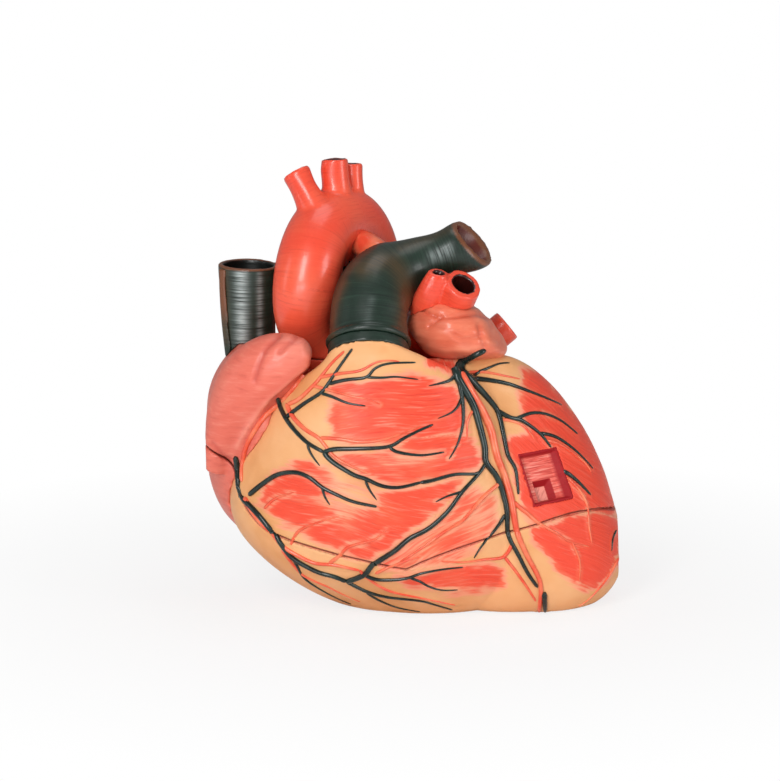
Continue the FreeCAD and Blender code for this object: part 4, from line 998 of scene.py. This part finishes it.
# Middle lines of the large vessels in mm, for the brush lines round each
vesselLines = {
    "upperCava": [[(-100, 17, 142), (-103, 15, 170), (-103.5, 15, 192), (-103, 15, 212)]],
    "lowerCava": [[(-78, 20, 59), (-78, 36, 42), (-77, 48, 25)]],
    "trunk": [[(-28, -48, 166), (-28, -44, 172), (-28, -35, 185), (-26.5, -24.8, 199.5), (-13, -9.1, 212.8),
               (9.9, -2, 219.9), (36.7, 5, 228.4)]],
    "rightLungArtery": [[(-13, 0, 211), (-29, 21, 202), (-62, 35, 197), (-86, 50, 194), (-100, 57, 192)]],
    "aorta": [[(-54, 2, 150), (-54, 2, 157), (-68.4, -5, 179), (-66.6, -7.9, 206.9), (-58.5, 10, 232),
               (-33, 48, 226), (-29.9, 64, 188)],
              [(-60.3, 11.6, 245), (-66.8, 15.3, 258), (-73.8, 20, 270)],
              [(-46.3, 24.3, 246), (-47.6, 26.1, 259), (-48.9, 28, 276.5)],
              [(-36.9, 36.6, 242.5), (-37.7, 38.3, 255.3), (-38.5, 39.9, 272.2)]],
    "leftVeins": [[(12, 12, 166), (18, -8, 182), (25, -20, 196), (31, -28, 207.7)],
                  [(4, 2, 168), (7, -17, 187), (12, -26, 201), (16, -29, 215.6)]],
    "leftSideVein": [[(34, 26, 150), (46.5, 28.5, 159.6), (59.5, 31, 170)]],
    "rightUpperVein": [[(-31, 59, 163), (-60, 71, 161), (-83, 73, 163)]],
    "rightLowerVein": [[(-31, 59, 134), (-60, 71, 132), (-83, 73, 134)]],
}


# Middle and direction of a mouth that isn't square to its tube
mouths = {"trunk": ((36.7, 5, 228.4), (0.76, -0.15, 0.63))}
mouthLook = {"wide": 26, "deep": 2.0, "rounds": 6}
# Old patina, and painted highlights drawn as silvery brush marks, on the front view: half width, strength, then points
patinaMarks = {
    "trunk": [
        (9, 0.9, 362, 270, 378, 262, 392, 262, 402, 276, 406, 296, 405, 322),
        (5, 0.7, 345, 285, 336, 304, 332, 335),
        (5, 0.5, 400, 250, 430, 238, 455, 227)],
    "upperCava": [(6, 0.9, 223, 266, 223, 340)],
}
paintedHighlightMarks = {
    "trunk": [(6, 0.42, 434, 257, 447, 252), (4, 0.12, 372, 300, 368, 322)],
    "upperCava": [(6, 1.0, 241, 272, 242, 340), (3, 0.5, 260, 275, 260, 335)],
}


def marks(u, v, front, named):
    weight = np.zeros(len(u))
    for width, strength, *route in named:
        weight = np.maximum(weight, strength * band(u, v, front, width, route))
    return weight


def paintTube(mesh, lineName, rim):
    # Writes how far along and around its tube each point is, how brown, and whether it is in the bore. rim is how
    # far the brown reaches from the open ends in mm.
    co, facing, u, v, front = surface(mesh, 0.1)
    dense, forwards, lengths, ends = [], [], [], []
    for line in vesselLines[lineName]:
        run = spline([tuple(Vector(p) * mm) for p in line], 1.5 * mm)
        length = 0.0
        for k, place in enumerate(run):
            ahead, behind = run[min(k + 1, len(run) - 1)], run[max(k - 1, 0)]
            length += (place - behind).length
            dense.append(place)
            forwards.append((ahead - behind).normalized())
            lengths.append(length)
        place, direction = mouths.get(lineName, (run[-1] / mm, forwards[-1]))
        ends.append((Vector(place) * mm, Vector(direction)))
    finder = finderOf(dense)
    along, around, inner, brown = np.zeros((4, len(co)))
    for k, place in enumerate(Vector(p) for p in co):
        index = finder.find(place)[1]
        forward = forwards[index]
        offset = place - dense[index]
        rise = offset.dot(forward)
        along[k] = lengths[index] + rise
        outward = offset - forward * rise
        side = forward.cross(Vector((0.3, 1, 0.2))).normalized()
        around[k] = math.atan2(outward.dot(forward.cross(side)), outward.dot(side)) / math.pi
        inner[k] = outward.length > 1e-6 and Vector(facing[k]).dot(outward.normalized()) < -0.2
        if rim:
            toEnd = min((end - place).dot(direction) for end, direction in ends)
            brown[k] = 1 - min(1, max(0, toEnd / (rim * mm)))
    # inside the bore the tube gets painted shade, fading out at the brown rims
    writeColour(mesh, "tube", along, around, smoothStep(0.1, 0.5, brown), inner * smoothStep(1.0, 0.8, brown))
    # the painted highlight's marks go in the second channel
    patina, silver = (marks(u, v, front, named.get(lineName, [])) for named in (patinaMarks, paintedHighlightMarks))
    writeColour(mesh, "age", patina, silver, np.full(len(co), float(lineName == "trunk")), np.zeros(len(co)))


def evenMouths(mesh, lineName):
    # smooths the rims, so that each is an even ring
    ends = []
    for line in vesselLines[lineName]:
        place, direction = mouths.get(lineName, (line[-1], Vector(line[-1]) - Vector(line[-2])))
        ends.append((Vector(place) * mm, Vector(direction).normalized()))
    rims = [vert.index for vert in mesh.vertices
            if min((end - vert.co).dot(direction) + 1e3 * ((end - vert.co).length > mouthLook["wide"] * mm)
                   for end, direction in ends) < mouthLook["deep"] * mm]
    relax(mesh, mouthLook["rounds"], rims)


# Large vessels: (piece, nodes, middle line, body, slot, voxel), then rounds of smoothing, how far the brown reaches
# from the ends and the snap to the frame, where they aren't these
usual = [3, 0.0, 0.8]
red, green = "red_vessel", "green_vessel"
aortaNodes = ["aortic_arch", "brachiocephalic_artery", "left_carotid_artery", "left_subclavian_artery"]
largeVessels = [
    ("upperVenaCava", ["upper_vena_cava"], "upperCava", upper, green, 0.9, 3, 1.3),
    ("azygosRib", ["azygos_vein"], "upperCava", upper, green, 0.7, 3, 45.0),
    ("lowerVenaCava", ["lower_vena_cava"], "lowerCava", lower, green, 0.9, 3, 1.3),
    ("pulmonaryTrunk", ["pulmonary_trunk"], "trunk", vessels, green, 0.95, 3, 1.7),
    ("rightPulmonaryArtery", ["right_pulmonary_artery"], "rightLungArtery", vessels, green, 0.9, 3, 1.3),
    ("pulmonarySeat", ["pulmonary_seat"], "trunk", upper, green, 0.75, 2),
    ("aorticArch", aortaNodes, "aorta", vessels, red, 0.95, 7, 0.0, 0.0),
    ("aorticSeat", ["aortic_seat"], "aorta", upper, red, 0.75),
    ("leftUpperVeins", ["left_upper_pulmonary_veins"], "leftVeins", upper, red, 0.7),
    ("leftLowerVein", ["left_lower_pulmonary_vein"], "leftSideVein", upper, red, 0.8),
    ("rightUpperVein", ["right_upper_pulmonary_vein"], "rightUpperVein", upper, red, 0.8),
    ("rightLowerVein", ["right_lower_pulmonary_vein"], "rightLowerVein", upper, red, 0.8),
]
for name, nodes, line, body, slotName, voxel, *rest in largeVessels:
    rounds, rim, snap = rest + usual[len(rest):]
    mesh = softCopy(name + "Skin", nodes, voxel, rounds, snap)
    swell(mesh, fuller.get(name, []))
    evenMouths(mesh, line)
    warp(mesh, name)
    paintTube(mesh, line, rim)
    newPiece(name, mesh, body, slotName, nodes)
ligamentLook = {"voxel": 0.7, "rounds": 2, "snap": 0.8, "push": 5.5}
ligamentMesh = softCopy("ligamentSkin", ["arterial_ligament"], *(ligamentLook[k] for k in ("voxel", "rounds", "snap")))
setPoints(ligamentMesh, points(ligamentMesh) + normals(ligamentMesh) * ligamentLook["push"] * mm)
newPiece("ligamentWeb", ligamentMesh, vessels, red, ["arterial_ligament"], looks["small_artery"])
print("large vessels done")

# What stays as it is in the frame gets its finish
slotNames = {part["node"]: part["material_slot"] for part in frame["record"]["subparts"]}
for name, node in frame["nodes"].items():
    if not node.hide_render:
        node.data.materials.clear()
        node.data.materials.append(looks[slotNames[name]])

# Floor, light and camera
stageLook = {"floor": (0.93, 0.93, 0.93), "near": 0.80, "nearRadius": 0.16, "farRadius": 0.42, "world": 0.26,
             "size": 5.0, "below": 0.5}


def floorPaint():
    # white far off, with the object's soft shadow near it
    paint = newPaint("floor")
    length = paint.node("ShaderNodeVectorMath")
    length.operation = "LENGTH"
    paint.feed(length, {0: paint.place()})
    share = paint.ranged(length.outputs["Value"], stageLook["nearRadius"], stageLook["farRadius"], 1.0,
                         stageLook["near"])
    seen = paint.times(paint.node("ShaderNodeLightPath").outputs["Is Camera Ray"], share)
    white = paint.node("ShaderNodeEmission", {"Color": (1, 1, 1)})
    paint.feed(paint.shader, {"Base Color": stageLook["floor"], "Roughness": 0.9})
    both = paint.node("ShaderNodeMixShader", {0: seen, 1: paint.shader.outputs[0], 2: white.outputs[0]})
    paint.feed(paint.tree.nodes["Material Output"], {"Surface": both.outputs[0]})
    return paint.owner


bm = bmesh.new()
bmesh.ops.create_grid(bm, x_segments=1, y_segments=1, size=stageLook["size"])
bmesh.ops.translate(bm, verts=bm.verts, vec=(0, 0, -stageLook["below"] * mm))
floor = addObject("floor", meshOf(bm, "floor"))
floor.data.materials.append(floorPaint())

scene.world = bpy.data.worlds.new("studio")
sky = Paint(scene.world)
seen = sky.times(sky.node("ShaderNodeLightPath").outputs["Is Camera Ray"], 1 - stageLook["world"])
sky.feed(sky.tree.nodes["Background"], {"Color": (1, 1, 1), "Strength": sky.plus(seen, stageLook["world"])})

# Lamps: (name, place, size, power)
lampTarget = Vector((0, 0, 0.14))
lamps = [
    ("keyLight", (-0.55, -1.5, 0.95), (0.45, 1.1), 17.0),
    ("fillLight", (1.4, -0.9, 0.45), (0.5, 1.0), 9.0),
    ("topLight", (0.1, 0.2, 1.6), (0.9, 0.6), 3.5),
    ("leftLight", (-1.4, -0.3, 0.5), (0.3, 0.9), 1.4),
    ("lowLight", (-0.5, -1.5, 0.12), (0.9, 0.2), 4.0),
]
for name, place, size, power in lamps:
    data = bpy.data.lights.new(name, "AREA")
    data.shape = "RECTANGLE"
    data.size, data.size_y = size
    data.energy = power
    lamp = addObject(name, data)
    lamp.location = place
    lamp.rotation_euler = (lampTarget - Vector(place)).to_track_quat("-Z", "Y").to_euler()

cameraLook = {"target": (-0.0147, 0, 0.1342), "distance": 3.5, "lens": 257.0, "sensor": 36, "far": 30}
cameraData = bpy.data.cameras.new("camera")
cameraData.lens = cameraLook["lens"]
cameraData.sensor_width = cameraLook["sensor"]
cameraData.clip_end = cameraLook["far"]
camera = addObject("camera", cameraData)
camera.location = Vector(cameraLook["target"]) - frontIn * cameraLook["distance"]
camera.rotation_euler = frontIn.to_track_quat("-Z", "Y").to_euler()
scene.camera = camera

scene.view_settings.view_transform = "Standard"
